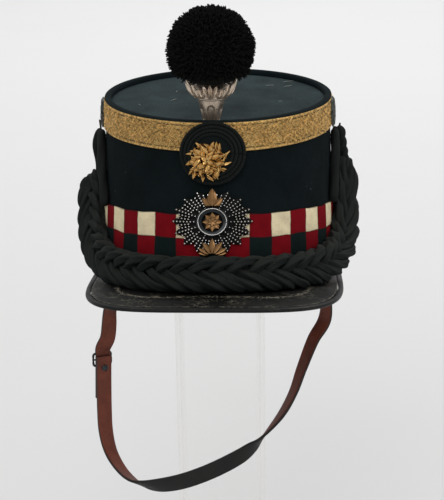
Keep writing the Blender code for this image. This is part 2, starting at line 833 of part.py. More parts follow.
def build_side_fittings(parent):
    """Cord loops, wire hooks and the side rosettes."""
    worsted = finish_of("loop_cord_worsted", (0.010, 0.011, 0.011), 0.85)
    wire = finish_of("dark_hook_wire", (0.02, 0.02, 0.02), 0.5, 0.8)
    bronze = finish_of("grey_bronze", (0.11, 0.12, 0.11), 0.6, 0.8)
    ends = (("left", -1.0, PLAIT_LEFT_END), ("right", 1.0, PLAIT_RIGHT_END))
    for side, sign, plait_end in ends:
        turn = sign * LOOP_TURN
        hook_rise = slant(turn) - LACE_DROP - LACE_WIDTH - HOOK_DROP
        top = hook_rise + HOOK_RADIUS + LOOP_SLACK + LOOP_CORD_RADIUS
        bottom = plait_end + PLAIT_STRAND + GAP + LOOP_CORD_RADIUS
        half = (top - bottom) / 2
        middle = (top + bottom) / 2
        seat_out = LACE_FACE + LOOP_CORD_RADIUS
        centres = []
        for angle in turns(20):
            swing = math.cos(angle)
            aside = LOOP_HALF_WIDTH * math.copysign(abs(swing) ** LOOP_SQUARENESS, swing)
            up = half * math.sin(angle)
            out = mix(seat_out, PLAIT_OUT * 0.7, 0.5 - 0.5 * math.sin(angle))
            centres.append((aside, middle + up, out))
        rings = []
        for index, (aside, rise, out) in enumerate(centres):
            here = beside(turn, aside, rise, out)
            before = beside(turn, *centres[index - 1])
            after = beside(turn, *centres[(index + 1) % len(centres)])
            along = (after - before).normalized()
            outward = wall_normal(turn, 0.8)
            outward = (outward - along * outward.dot(along)).normalized()
            across = outward.cross(along)
            rings.append([
                here + (across * math.cos(a) + outward * math.sin(a)) * LOOP_CORD_RADIUS
                for a in turns(7)
            ])
        loft(f"cord_loop_{side}", rings, worsted, parent, joined=True)

        crook = seat_out + LOOP_CORD_RADIUS + GAP + HOOK_RADIUS
        route = [beside(turn, 0.0, hook_rise, GAP)]
        for rise_share, out_share in HOOK_BEND:
            route.append(beside(turn, 0.0, hook_rise + HOOK_LENGTH * rise_share, crook * out_share))
        curve = bpy.data.curves.new(f"hook_{side}", "CURVE")
        curve.dimensions = "3D"
        curve.bevel_depth = HOOK_RADIUS
        curve.bevel_resolution = 2
        curve.use_fill_caps = True
        spline = curve.splines.new("POLY")
        spline.points.add(len(route) - 1)
        for point, place in zip(spline.points, route):
            point.co = (*place, 1.0)
        add_object(f"hook_{side}", curve, wire, parent)

        seat = LACE_FACE + GAP
        layers = (
            (0.0, seat),
            (1.0, seat),
            (1.0, seat + SIDE_ROSETTE_HEIGHT * 0.4),
            (0.72, seat + SIDE_ROSETTE_HEIGHT * 0.85),
            (0.45, seat + SIDE_ROSETTE_HEIGHT),
            (0.0, seat + SIDE_ROSETTE_HEIGHT),
        )
        rise = slant(turn) - LACE_DROP - LACE_WIDTH / 2
        rings = []
        for share, out in layers:
            if share == 0.0:
                rings.append([beside(turn, 0.0, rise, out)])
                continue
            ring = []
            for angle in turns(SIDE_ROSETTE_LOBES * 3):
                lobe = 0.95 + 0.05 * math.cos(SIDE_ROSETTE_LOBES * angle)
                reach = SIDE_ROSETTE_RADIUS * lobe * share
                ring.append(beside(turn, reach * math.cos(angle), rise + reach * math.sin(angle), out))
            rings.append(ring)
        loft(f"side_rosette_{side}", rings, bronze, parent)


def level(point):
    """A point of the leaning hat on level axes through the centre of its base edge."""
    return Vector((
        point.x,
        point.y * math.cos(LEAN) + point.z * math.sin(LEAN),
        point.z * math.cos(LEAN) - point.y * math.sin(LEAN),
    ))


def strap_anchor(sign):
    """Rows that take the strap up inside the wall at one side."""
    rows = []
    inner = -(CROWN_WALL + STRAP_SEAT + STRAP_THICKNESS / 2)
    for rise in (STRAP_END_RISE, STRAP_END_RISE * 0.5, 0.0):
        point = level(risen(sign * STRAP_TURN, rise, inner))
        rows.append((*point, 90.0))
    foot = rows[-1]
    rows.append((foot[0], foot[1] * 0.4, foot[2] - STRAP_TURN_DROP, 72.0))
    return rows


def strap_inward(along, face_turn):
    """The way the strap's inner face looks, where the strap runs along a direction."""
    front = Vector(STRAP_VIEW)
    front = (front - along * front.dot(along)).normalized()
    angle = math.radians(face_turn)
    return front * math.cos(angle) - along.cross(front) * math.sin(angle)


def ribbon(name, rows, material, parent):
    """A flat strap along rows of place and face turn."""
    stations = smooth_route(rows, STRAP_STATION)
    last = len(stations) - 1
    rings = []
    for index, station in enumerate(stations):
        before = Vector(stations[max(index - 1, 0)][:3])
        after = Vector(stations[min(index + 1, last)][:3])
        along = (after - before).normalized()
        inward = strap_inward(along, station[3])
        across = along.cross(inward)
        here = Vector(station[:3])
        side = across * (STRAP_WIDTH / 2)
        face = inward * (STRAP_THICKNESS / 2)
        rings.append([here - side - face, here + side - face, here + side + face, here - side + face])
    return loft(name, rings, material, parent)


def build_strap(parent):
    """Chin strap in two lengths, its buckle, stud and inner rivets."""
    leather = finish_of("brown_strap_leather", (0.12, 0.04, 0.025), 0.5)
    dark = finish_of("dark_buckle_metal", (0.02, 0.02, 0.022), 0.45, 0.8)
    buckle_row = STRAP_LONG_ROUTE[0]
    down = (Vector(STRAP_LONG_ROUTE[1][:3]) - Vector(buckle_row[:3])).normalized()
    inward = strap_inward(down, buckle_row[3])
    behind = STRAP_THICKNESS + GAP
    rows = strap_anchor(-1.0) + list(STRAP_SHORT_ROUTE)
    for below in (-TAIL_LEAD, 0.0, TAIL_LENGTH / 2, TAIL_LENGTH):
        place = Vector(buckle_row[:3]) - inward * behind + down * below
        rows.append((*place, buckle_row[3]))
    ribbon("strap_short", rows, leather, parent)
    long_rows = list(STRAP_LONG_ROUTE) + strap_anchor(1.0)[::-1]
    ribbon("strap_long", long_rows, leather, parent)

    outline = bpy.data.curves.new("buckle", "CURVE")
    outline.dimensions = "2D"
    outline.fill_mode = "BOTH"
    outline.extrude = BUCKLE_THICKNESS / 2
    half_width = BUCKLE_WIDTH / 2
    half_length = BUCKLE_LENGTH / 2
    inner = half_width - BUCKLE_WIRE
    boxes = (
        (-half_width, half_width, -half_length, half_length),
        (-inner, inner, BUCKLE_WIRE / 2, half_length - BUCKLE_WIRE),
        (-inner, inner, -half_length + BUCKLE_WIRE, -BUCKLE_WIRE / 2),
    )
    for left, right, low, high in boxes:
        spline = outline.splines.new("POLY")
        spline.points.add(3)
        corners = ((left, low), (right, low), (right, high), (left, high))
        for point, corner in zip(spline.points, corners):
            point.co = (*corner, 0.0, 1.0)
        spline.use_cyclic_u = True
    buckle = add_object("buckle", outline, dark, parent)
    seat = behind + STRAP_THICKNESS / 2 + GAP + BUCKLE_THICKNESS / 2
    buckle.location = Vector(buckle_row[:3]) - inward * seat + Vector((0.0, 0.0, -BUCKLE_LENGTH / 3))
    buckle.rotation_euler = (math.pi / 2, 0.0, math.atan2(inward.x, -inward.y))

    stud_place = Vector(STRAP_LONG_ROUTE[0][:3]) + Vector((0.0, 0.0, -BUCKLE_LENGTH * 0.75))
    stud_place += inward * (STRAP_THICKNESS / 2 + GAP + STUD_HEIGHT / 2)
    add_disc("strap_stud", STUD_RADIUS, STUD_HEIGHT, stud_place, inward, dark, parent)
    for side, sign in (("left", -1.0), ("right", 1.0)):
        top = Vector(strap_anchor(sign)[0][:3]).lerp(Vector(strap_anchor(sign)[1][:3]), 0.5)
        inside = Vector((-sign, 0.0, 0.0))
        place = top + inside * (STRAP_THICKNESS / 2 + GAP + RIVET_HEIGHT / 2)
        add_disc(f"strap_rivet_{side}", RIVET_RADIUS, RIVET_HEIGHT, place, inside, dark, parent)


def add_disc(name, radius, height, place, facing, material, parent):
    """A small round head that faces one way."""
    bpy.ops.mesh.primitive_cylinder_add(vertices=16, radius=radius, depth=height)
    head = adopt(bpy.context.object, name, material, parent)
    head.location = place
    head.rotation_euler = facing.to_track_quat("Z", "Y").to_euler()


def add_frame(name, location, rotation):
    """An empty that carries one group of pieces."""
    frame = bpy.data.objects.new(name, None)
    bpy.data.collections["shako_hat"].objects.link(frame)
    frame.location = location
    frame.rotation_euler = rotation
    return frame


def main():
    clear_scene()
    collection = bpy.data.collections.new("shako_hat")
    bpy.context.scene.collection.children.link(collection)
    hat = add_frame("hat_frame", (0.0, 0.0, HAT_HEIGHT), (-LEAN, 0.0, 0.0))
    top_level = HAT_HEIGHT + RIM_LEVEL - TOP_RECESS
    tuft = add_frame("tuft_frame", (TUFT_X, TUFT_Y, top_level), (0.0, 0.0, 0.0))
    strap = add_frame("strap_frame", (0.0, 0.0, HAT_HEIGHT), (0.0, 0.0, 0.0))
    build_stand()
    build_crown(hat)
    build_bands(hat)
    build_peak(hat)
    build_boss(hat)
    build_plate(hat)
    build_plait(hat)
    build_side_fittings(hat)
    build_tuft(tuft)
    build_strap(strap)


main()
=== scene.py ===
"""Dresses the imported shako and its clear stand: finishes, cords, lace, plate and tuft."""

import math

import bmesh
import bpy
import numpy as np
from bpy.props import FloatProperty, FloatVectorProperty, IntProperty, PointerProperty
from mathutils import Matrix, Vector


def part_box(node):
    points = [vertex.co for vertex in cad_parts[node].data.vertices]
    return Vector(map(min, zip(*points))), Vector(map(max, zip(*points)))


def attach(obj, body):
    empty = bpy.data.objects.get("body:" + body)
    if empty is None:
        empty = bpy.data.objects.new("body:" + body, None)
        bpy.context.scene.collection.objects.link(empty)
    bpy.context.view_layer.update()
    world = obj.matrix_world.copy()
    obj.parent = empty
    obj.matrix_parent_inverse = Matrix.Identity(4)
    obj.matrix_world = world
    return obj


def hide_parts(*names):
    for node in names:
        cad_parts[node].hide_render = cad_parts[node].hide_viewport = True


bl_info = {
    "name": "Shako Hat on a Stand",
    "version": (1, 0, 0),
    "blender": (4, 5, 0),
    "location": "View3D > Sidebar > Shako",
    "description": "Builds the dressed pieces of a leaning shako and its clear stand",
    "category": "Add Mesh",
}

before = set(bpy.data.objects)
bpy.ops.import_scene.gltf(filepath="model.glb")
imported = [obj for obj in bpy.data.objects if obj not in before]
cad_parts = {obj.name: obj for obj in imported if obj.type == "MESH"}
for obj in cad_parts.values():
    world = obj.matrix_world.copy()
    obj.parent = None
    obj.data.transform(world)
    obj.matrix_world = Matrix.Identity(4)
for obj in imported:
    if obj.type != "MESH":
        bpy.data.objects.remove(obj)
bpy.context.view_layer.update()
GAP = 0.0003
FULL_TURN = 2.0 * math.pi

# The plait's centre from the middle of the front to one end: turn in degrees, rise in metres
PLAIT_ROUTE = (
    (0, 0.0110),
    (18, 0.0108),
    (34, 0.0107),
    (47, 0.0114),
    (58, 0.0136),
    (67, 0.0178),
    (75, 0.0245),
    (81, 0.0360),
    (86, 0.0500),
    (89, 0.0620),
    (92, 0.0760),
)
# The strap's centre from the centre of the hat's base edge, level axes: x, y, z in metres,
# then the turn of its inner face in degrees (0 looks to the front, 90 into the loop).
# Its last three rows run up to 2.4 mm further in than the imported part's
STRAP_SHORT_ROUTE = (
    (-0.0775, 0.0000, -0.0335, 44),
    (-0.0783, 0.0000, -0.0433, 30),
    (-0.0797, 0.0000, -0.0530, 26),
)
STRAP_LONG_ROUTE = (
    (-0.0828, 0.0000, -0.0670, 26),
    (-0.0835, 0.0000, -0.0855, 26),
    (-0.0840, 0.0000, -0.1089, 28),
    (-0.0833, -0.0020, -0.1254, 34),
    (-0.0793, -0.0090, -0.1379, 50),
    (-0.0713, -0.0200, -0.1458, 69),
    (-0.0616, -0.0320, -0.1488, 90),
    (-0.0524, -0.0400, -0.1480, 122),
    (-0.0412, -0.0470, -0.1446, 152),
    (-0.0268, -0.0530, -0.1388, 170),
    (-0.0127, -0.0560, -0.1323, 176),
    (0.0012, -0.0570, -0.1252, 172),
    (0.0150, -0.0560, -0.1175, 156),
    (0.0232, -0.0530, -0.1122, 132),
    (0.0300, -0.0500, -0.1065, 98),
    (0.0430, -0.0400, -0.0938, 74),
    (0.0516, -0.0290, -0.0814, 66),
    (0.0576, -0.0170, -0.0685, 57),
    (0.0654, -0.0070, -0.0515, 48),
    (0.0738, -0.0010, -0.0373, 42),
)
STRAP_VIEW = np.array((0.0, -1.0, 0.33))


def linear(code):
    """The linear values of an sRGB hex colour."""
    values = [int(code[place:place + 2], 16) / 255 for place in (1, 3, 5)]
    return tuple(v / 12.92 if v <= 0.04045 else ((v + 0.055) / 1.055) ** 2.4 for v in values)


def length(name, text, default):
    """A length in metres that a user can change."""
    return FloatProperty(name=name, description=text, default=default, unit="LENGTH", precision=5)


def tint(name, text, code):
    """A colour that a user can change."""
    return FloatVectorProperty(
        name=name, description=text, default=linear(code), subtype="COLOR", min=0.0, max=1.0)


class ShakoSizes(bpy.types.PropertyGroup):
    """Sizes of the hat and its stand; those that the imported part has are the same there."""

    lean: FloatProperty(
        name="Lean", description="How far the hat leans forward", default=math.radians(10.5),
        subtype="ANGLE",
    )
    base_half_width: length("Base half width", "Half the base edge's width", 0.079)
    base_half_length: length("Base half length", "Half the base edge's length", 0.101)
    top_half_width: length("Top half width", "Half the rim's width", 0.076)
    top_half_length: length("Top half length", "Half the rim's length", 0.082)
    front_height: length("Front height", "Height of the crown in front", 0.1058)
    crown_wall: length("Crown wall", "Thickness of the felt wall", 0.0025)
    top_recess: length("Top recess", "How deep the top lies under the rim", 0.0038)
    top_thickness: length("Top thickness", "Thickness of the top", 0.0025)
    welt_width: length("Welt width", "Width of the rim's welt", 0.0034)
    welt_height: length("Welt height", "Height of the rim's welt", 0.0032)
    lace_drop: length("Lace drop", "The lace's upper edge under the rim", 0.0016)
    lace_width: length("Lace width", "Width of the gold lace", 0.0184)
    lace_thickness: length("Lace thickness", "Thickness of the gold lace", 0.0010)
    lace_wires: IntProperty(
        name="Lace wires", description="Loose bright wires on the lace", default=1500, min=0
    )
    diced_rise: length("Diced rise", "The diced band's lower edge over the base", 0.003)
    check_height: length("Check height", "Height of one row of checks", 0.015)
    check_rows: IntProperty(name="Check rows", description="Rows of checks", default=3, min=1)
    checks_round: IntProperty(
        name="Checks round", description="Checks in one row, an even number", default=36, min=2
    )
    diced_thickness: length("Diced thickness", "Thickness of the diced band", 0.0012)
    peak_half_width: length("Peak half width", "Half the peak's width", 0.084)
    peak_reach: length("Peak reach", "The peak's front edge from the hat's centre", 0.1345)
    peak_side: length("Peak side", "Where the peak's sides start to round", 0.020)
    peak_drop: length("Peak drop", "How far the peak's front edge droops", 0.0057)
    peak_thickness: length("Peak thickness", "Thickness of the peak's leather", 0.0020)
    binding_depth: length("Binding depth", "Depth of the bound edge", 0.0036)
    binding_thickness: length("Binding thickness", "Thickness of the bound edge", 0.0027)
    boss_rise: length("Boss rise", "The boss's centre over the base edge", 0.0865)
    boss_radius: length("Boss radius", "Radius of the corded boss", 0.0203)
    boss_height: length("Boss height", "How far the boss stands out", 0.0046)
    plate_rise: length("Plate rise", "The plate's centre over the base edge", 0.0433)
    plate_half_width: length("Plate half width", "Half the star's width", 0.0250)
    plate_half_height: length("Plate half height", "Half the star's height", 0.0206)
    ring_radius: length("Ring radius", "Outer radius of the plate's ring", 0.0094)
    ball_radius: length("Ball radius", "Radius of the ball tuft", 0.0283)
    ball_threads: IntProperty(
        name="Ball threads", description="Cut ends on each square metre of the ball",
        default=640000, min=0,
    )
    plait_strands: IntProperty(
        name="Plait strands", description="Cords in the plait, an odd number", default=7, min=3
    )
    plait_spacing: length("Plait spacing", "Distance from one cord's arm to the next", 0.0118)
    plait_cord: length("Plait cord", "Radius of one cord of the plait", 0.0029)
    strap_width: length("Strap width", "Width of the chin strap", 0.0110)
    strap_thickness: length("Strap thickness", "Thickness of the chin strap", 0.0020)
    tube_radius: length("Tube radius", "Outer radius of the stand's tube", 0.03175)
    tube_wall: length("Tube wall", "Wall of the stand's tube", 0.003)


class ShakoColours(bpy.types.PropertyGroup):
    """Colours of the finishes."""

    felt: tint("Felt", "Wall of the crown", "#0f1618")
    # The top's own cloth colour, painted several times lighter than the felt to stand in for the
    # light from above
    top_cloth: tint("Top cloth", "Flat top of the crown", "#303a3c")
    gold: tint("Gold wire", "Gold lace", "#cba768")
    scarlet: tint("Scarlet", "Red checks", "#740c16")
    cream: tint("Cream", "White checks", "#e6d7b2")
    dark_green: tint("Dark green", "Green checks", "#131d1d")
    black_leather: tint("Black leather", "Peak and the strap's outer face", "#171716")
    brown_leather: tint("Brown leather", "Inner face of the strap", "#683527")
    cord_wool: tint("Cord wool", "Plait and loops", "#131818")
    tuft_wool: tint("Tuft wool", "Ball tuft", "#151514")
    silver: tint("Silver", "Cut silver of the plate", "#e6e4de")
    gilt: tint("Gilt", "Gilt ornaments", "#c09a60")
    stem_silver: tint("Stem silver", "Worn silver of the stem and cup", "#c6b6a4")
    bronze: tint("Bronze", "Side rosettes", "#50534e")
    floor: tint("Floor", "Floor under the stand", "#dcdcdc")


class Wall:
    """The crown's wall between its base edge and its rim, as points in the row frame."""

    def __init__(self, sizes):
        self.sizes = sizes
        self.sin_lean = math.sin(sizes.lean)
        self.cos_lean = math.cos(sizes.lean)
        self.top_centre = sizes.front_height + sizes.top_half_length * self.sin_lean
        self.rim_level = self.top_centre * self.cos_lean
        underside = self.rim_level - sizes.top_recess - sizes.top_thickness
        self.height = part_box("stand_tube")[1].z + GAP - underside
        self.fine_turns = np.linspace(-math.pi, math.pi, 2881)
        steps = np.hypot(sizes.base_half_width
            * np.cos(self.fine_turns), sizes.base_half_length * np.sin(self.fine_turns))
        spans = (steps[1:] + steps[:-1]) / 2 * np.diff(self.fine_turns)
        self.arcs = np.concatenate(((0.0,), np.cumsum(spans)))
        self.arcs -= self.arcs[-1] / 2
        self.girth = self.arcs[-1] * 2

    def to_row(self, points):
        """Points of the leaning hat frame, in the row frame."""
        x, y, z = np.moveaxis(np.asarray(points, float), -1, 0)
        ahead = y * self.cos_lean + z * self.sin_lean
        return np.stack((x, ahead, z * self.cos_lean - y * self.sin_lean + self.height), -1)

    def edges(self, turn):
        """Base point, the way up to the rim, and both edges' rates of change at a turn."""
        size = self.sizes
        sin, cos = np.sin(turn), np.cos(turn)
        base = np.stack((size.base_half_width * sin, -size.base_half_length * cos, 0 * sin), -1)
        along = -size.top_half_length * cos
        rim = np.stack(
            (size.top_half_width * sin,
            along * self.cos_lean, self.top_centre + along * self.sin_lean), -1)
        base_rate = np.stack(
            (size.base_half_width * cos, size.base_half_length * sin, 0 * sin), -1)
        run = size.top_half_length * sin
        rim_rate = np.stack(
            (size.top_half_width * cos, run * self.cos_lean, run * self.sin_lean), -1)
        return base, rim - base, base_rate, rim_rate

    def slant(self, turn):
        """The wall's length from the base edge to the rim."""
        return np.linalg.norm(self.edges(np.asarray(turn, float))[1], axis=-1)

    def hat_point(self, turn, rise, out):
        """Points and outward normals in the hat frame, rise above the base edge."""
        turn, rise, out = np.broadcast_arrays(*[np.asarray(v, float) for v in (turn, rise, out)])
        base, up, base_rate, rim_rate = self.edges(turn)
        share = (rise / np.linalg.norm(up, axis=-1))[..., None]
        normal = np.cross(base_rate + (rim_rate - base_rate) * share, up)
        normal /= np.linalg.norm(normal, axis=-1, keepdims=True)
        return base + up * share + normal * out[..., None], normal

    def at(self, turn, rise, out):
        """Points on the wall, rise above the base edge and out from its face."""
        return self.to_row(self.hat_point(turn, rise, out)[0])

    def normal(self, turn, rise):
        """Outward directions of the wall in the row frame."""
        point, normal = self.hat_point(turn, rise, 0.0)
        return self.to_row(point + normal) - self.to_row(point)

    def axes(self, turn, rise):
        """Outward, sideways and upward directions of the wall."""
        out = self.normal(turn, rise)
        side = unit(self.at(turn + 0.001, rise, 0.0) - self.at(turn - 0.001, rise, 0.0))
        return out, side, np.cross(out, side)

    def under_rim(self, turn, drop, out):
        """Points on the wall, drop below the rim along the slant."""
        return self.at(turn, self.slant(turn) - drop, out)

    def level(self, turn, depth, out):
        """Points at a level depth below the rim, out from the wall in the level plane."""
        turn = np.asarray(turn, float)
        foot = self.sizes.base_half_length * np.cos(turn) * self.sin_lean
        rise = self.slant(turn) * (1.0 - depth / (self.rim_level - foot))
        point = self.at(turn, rise, 0.0)
        flat = self.normal(turn, self.slant(turn))
        flat[..., 2] = 0.0
        flat /= np.linalg.norm(flat, axis=-1, keepdims=True)
        return point + flat * np.asarray(out, float)[..., None]

    def footed(self, turn, out):
        """Points in the plane of the base edge, out from the wall, in the hat frame."""
        point, normal = self.hat_point(turn, 0.0, 0.0)
        flat = normal * (1.0, 1.0, 0.0)
        flat /= np.linalg.norm(flat, axis=-1, keepdims=True)
        return point + flat * np.asarray(out, float)[..., None]

    def front_turn(self, x, rise):
        """The turn of a place on the front, x to the right of its middle."""
        size = self.sizes
        share = rise / self.slant(0.0)
        return np.arcsin(
            x / (size.base_half_width + (size.top_half_width - size.base_half_width) * share))

    def front(self, x, rise, out):
        """Points on the front of the wall, x to the right of its middle."""
        return self.at(self.front_turn(x, rise), rise, out)

    def front_ring(self, angle, reach, rise, out):
        """Points of a ring on the front of the wall."""
        return self.front(reach * np.cos(angle), rise + reach * np.sin(angle), out)

    def arc(self, turn):
        """Length along the base edge from the front."""
        return np.interp(turn, self.fine_turns, self.arcs)

    def turn_at(self, arc):
        """Turn at a length along the base edge."""
        return np.interp(arc, self.arcs, self.fine_turns)


# How a Mix node blends two colours, which are then its sockets 6 and 7
BLEND = {"out": 2, "data_type": "RGBA"}


def add(tree, kind, sockets=(), out=0, **settings):
    """Add a node, set or link its inputs, by name or as a row, and give one of its outputs."""
    node = tree.nodes.new(kind if "Node" in kind else f"ShaderNode{kind}")
    for key, value in settings.items():
        setattr(node, key, value)
    for key, value in sockets.items() if isinstance(sockets, dict) else enumerate(sockets):
        if isinstance(value, bpy.types.NodeSocket):
            tree.links.new(value, node.inputs[key])
        else:
            node.inputs[key].default_value = value
    return node.outputs[out]


def new_material(name):
    """An empty node material."""
    material = bpy.data.materials.new(name)
    material.use_nodes = True
    material.node_tree.nodes.clear()
    return material, material.node_tree


def finish_material(material, sockets):
    """Close a material with a principled shader, and give it."""
    tree = material.node_tree
    output = tree.nodes.new("ShaderNodeOutputMaterial")
    tree.links.new(add(tree, "BsdfPrincipled", sockets), output.inputs["Surface"])
    return material


def rgba(colour, factor=1.0):
    """A colour for a socket, made lighter or darker."""
    return tuple(min(1.0, value * factor) for value in colour[:3]) + (1.0,)


def milled_wool(name, colour, lint_share=0.0):
    """Milled wool cloth: no weave shows, a short matt nap, faint clouds and pale lint."""
    material, tree = new_material(name)
    place = add(tree, "TexCoord", out="Object")
    nap = add(tree, "TexNoise", {
        "Vector": place,
        "Scale": 1 / (0.0013 if lint_share else 0.0008), "Detail": 3.0, "Roughness": 0.8})
    cloud = add(tree, "TexNoise", {
        "Vector": place, "Scale": 1 / 0.028, "Detail": 4.0, "Roughness": 0.6})
    tone = add(tree, "Math", (nap, cloud), operation="MULTIPLY")
    tone = add(tree, "MapRange", (tone, 0.12, 0.42))
    base = add(tree, "Mix", {0: tone, 6: rgba(colour, 0.6), 7: rgba(colour, 1.4)}, **BLEND)
    specks = add(tree, "TexVoronoi", {"Vector": place, "Scale": 1 / 0.0026}, "Distance")
    near = add(tree, "Math", (specks, 0.09), operation="LESS_THAN")
    patch = add(tree, "TexNoise", {"Vector": place, "Scale": 1 / 0.009, "Detail": 1.0})
    patch = add(tree, "Math", (patch, 0.66 - lint_share), operation="GREATER_THAN")
    lint = add(tree, "Math", (near, patch), operation="MULTIPLY")
    base = add(tree, "Mix", {0: lint, 6: base, 7: rgba(linear("#6d7578"))}, **BLEND)
    bump = add(tree, "Bump", {"Height": nap, "Strength": 0.55, "Distance": 0.0006})
    return finish_material(material, {
        "Base Color": base, "Roughness": 1.0, "Normal": bump, "Specular IOR Level": 0.08})


def gold_wire(name, colour, woven=0.0):
    """Gold wire lace: flattened metal thread; woven, its crossings get a painted highlight and the
    brown between them is painted shade.
    """
    material, tree = new_material(name)
    uv = add(tree, "TexCoord", out="UV")
    drift = add(tree, "TexNoise", {"Vector": uv, "Scale": 1 / 0.0022, "Detail": 2.0}, "Color")
    bent = add(tree, "Mix", {0: 0.0016, 4: uv, 5: drift}, 1, data_type="VECTOR")
    heights = []
    for turn in (0.7, -0.6, 1.25):
        turned = add(tree, "Mapping", {"Vector": bent, "Rotation": (0.0, 0.0, turn)})
        heights.append(
            add(tree, "TexWave", {"Vector": turned,
            "Scale": 1 / 0.0034, "Distortion": 2.5, "Detail": 2.0, "Detail Scale": 1.4}, "Fac"))
    height = heights[0]
    for other in heights[1:]:
        height = add(tree, "Math", (height, other), operation="MAXIMUM")
    grain = add(tree, "TexNoise", {
        "Vector": uv, "Scale": 1 / 0.0009, "Detail": 2.0, "Roughness": 0.8})
    height = add(tree, "Math", (height, grain), operation="MULTIPLY")
    # painted highlight and shade: woven, the weave's crests are lightened and the gaps between the
    # wires darkened
    tone = add(tree, "MapRange", (height, 0.25 if woven else 0.0, 0.6))
    if woven:
        inset = add(
            tree, "Math", (add(tree, "SeparateXYZ", (uv,), 1), woven / 2), operation="PINGPONG")
        line = add(tree, "Math", (inset, 0.0021, 0.0004), operation="COMPARE")
        line = add(tree, "Math", (1.0, line), operation="SUBTRACT")
        tone = add(tree, "Math", (tone, line), operation="MULTIPLY")
    else:
        shade = add(tree, "TexNoise", {
            "Vector": add(tree, "TexCoord", out="Object"), "Scale": 1 / 0.0015, "Detail": 1.0})
        tone = add(tree, "MapRange", (shade, 0.3, 0.6))
    # woven, the gold runs from painted shade in the gaps to a painted highlight on the crests
    base = add(tree, "Mix", {
        0: tone, 6: rgba(colour, 0.26 if woven else 0.5),
        7: rgba(colour, 1.45 if woven else 1.65)}, **BLEND)
    rough = add(tree, "MapRange", (grain, 0.3, 0.7, 0.3, 0.6))
    bump = add(tree, "Bump", {"Height": height, "Strength": 0.8, "Distance": 0.0006})
    return finish_material(material, {
        "Base Color": base, "Metallic": 0.75, "Roughness": rough, "Normal": bump})


def diced_wool(name, colours, rows):
    """Facecloth checks sewn edge to edge: matt wool, a fine weave and a dark line between."""
    material, tree = new_material(name)
    uv = add(tree, "TexCoord", out="UV")
    drift = add(tree, "TexNoise", {"Vector": uv, "Scale": 1.3, "Detail": 2.0}, "Color")
    wobble = add(tree,
        "VectorMath", (drift, (0.12, 0.12, 0.0), (-0.06, -0.06, 0.0)), operation="MULTIPLY_ADD")
    place = add(tree, "VectorMath", (uv, wobble), operation="ADD")
    parts = add(tree, "SeparateXYZ", (place,)).node
    column = add(tree, "Math", (parts.outputs[0],), operation="FLOOR")
    row = add(tree, "Clamp", {"Value": parts.outputs[1], "Max": rows - 0.01})
    row = add(tree, "Math", (row,), operation="FLOOR")
    both = add(tree, "Math", (column, row), operation="ADD")
    odd = add(tree, "Math", (both, 2.0), operation="FLOORED_MODULO")
    middle = add(tree, "Math", (row, 1.0, 0.1), operation="COMPARE")
    pale = add(tree, "Mix", {
        0: middle, 6: rgba(colours.cream), 7: rgba(colours.dark_green)}, **BLEND)
    check = add(tree, "Mix", {0: odd, 6: rgba(colours.scarlet), 7: pale}, **BLEND)
    spot = add(tree, "TexCoord", out="Object")
    weave = add(tree, "TexNoise", {
        "Vector": spot, "Scale": 1 / 0.0006, "Detail": 2.0, "Roughness": 0.7})
    soil = add(tree, "TexNoise", {"Vector": spot, "Scale": 1 / 0.008, "Detail": 3.0})
    tone = add(tree, "Math", (weave, soil), operation="ADD")
    tone = add(tree, "MapRange", (tone, 0.65, 1.35, 0.72, 1.15))
    base = add(tree, "VectorMath", {0: check, "Scale": tone}, operation="SCALE")
    seam = None
    for part in (0, 1):
        edge = add(tree, "Math", (parts.outputs[part], 0.5), operation="PINGPONG")
        seam = edge if seam is None else add(tree, "Math", (seam, edge), operation="MINIMUM")
    dark = add(tree, "MapRange", (seam, 0.0, 0.04, 0.6, 0.0))
    base = add(tree, "Mix", {0: dark, 6: base, 7: rgba(linear("#2a1c1a"))}, **BLEND)
    bump = add(tree, "Bump", {"Height": weave, "Strength": 0.5, "Distance": 0.0004})
    return finish_material(material, {
        "Base Color": base, "Roughness": 1.0, "Normal": bump, "Specular IOR Level": 0.08})


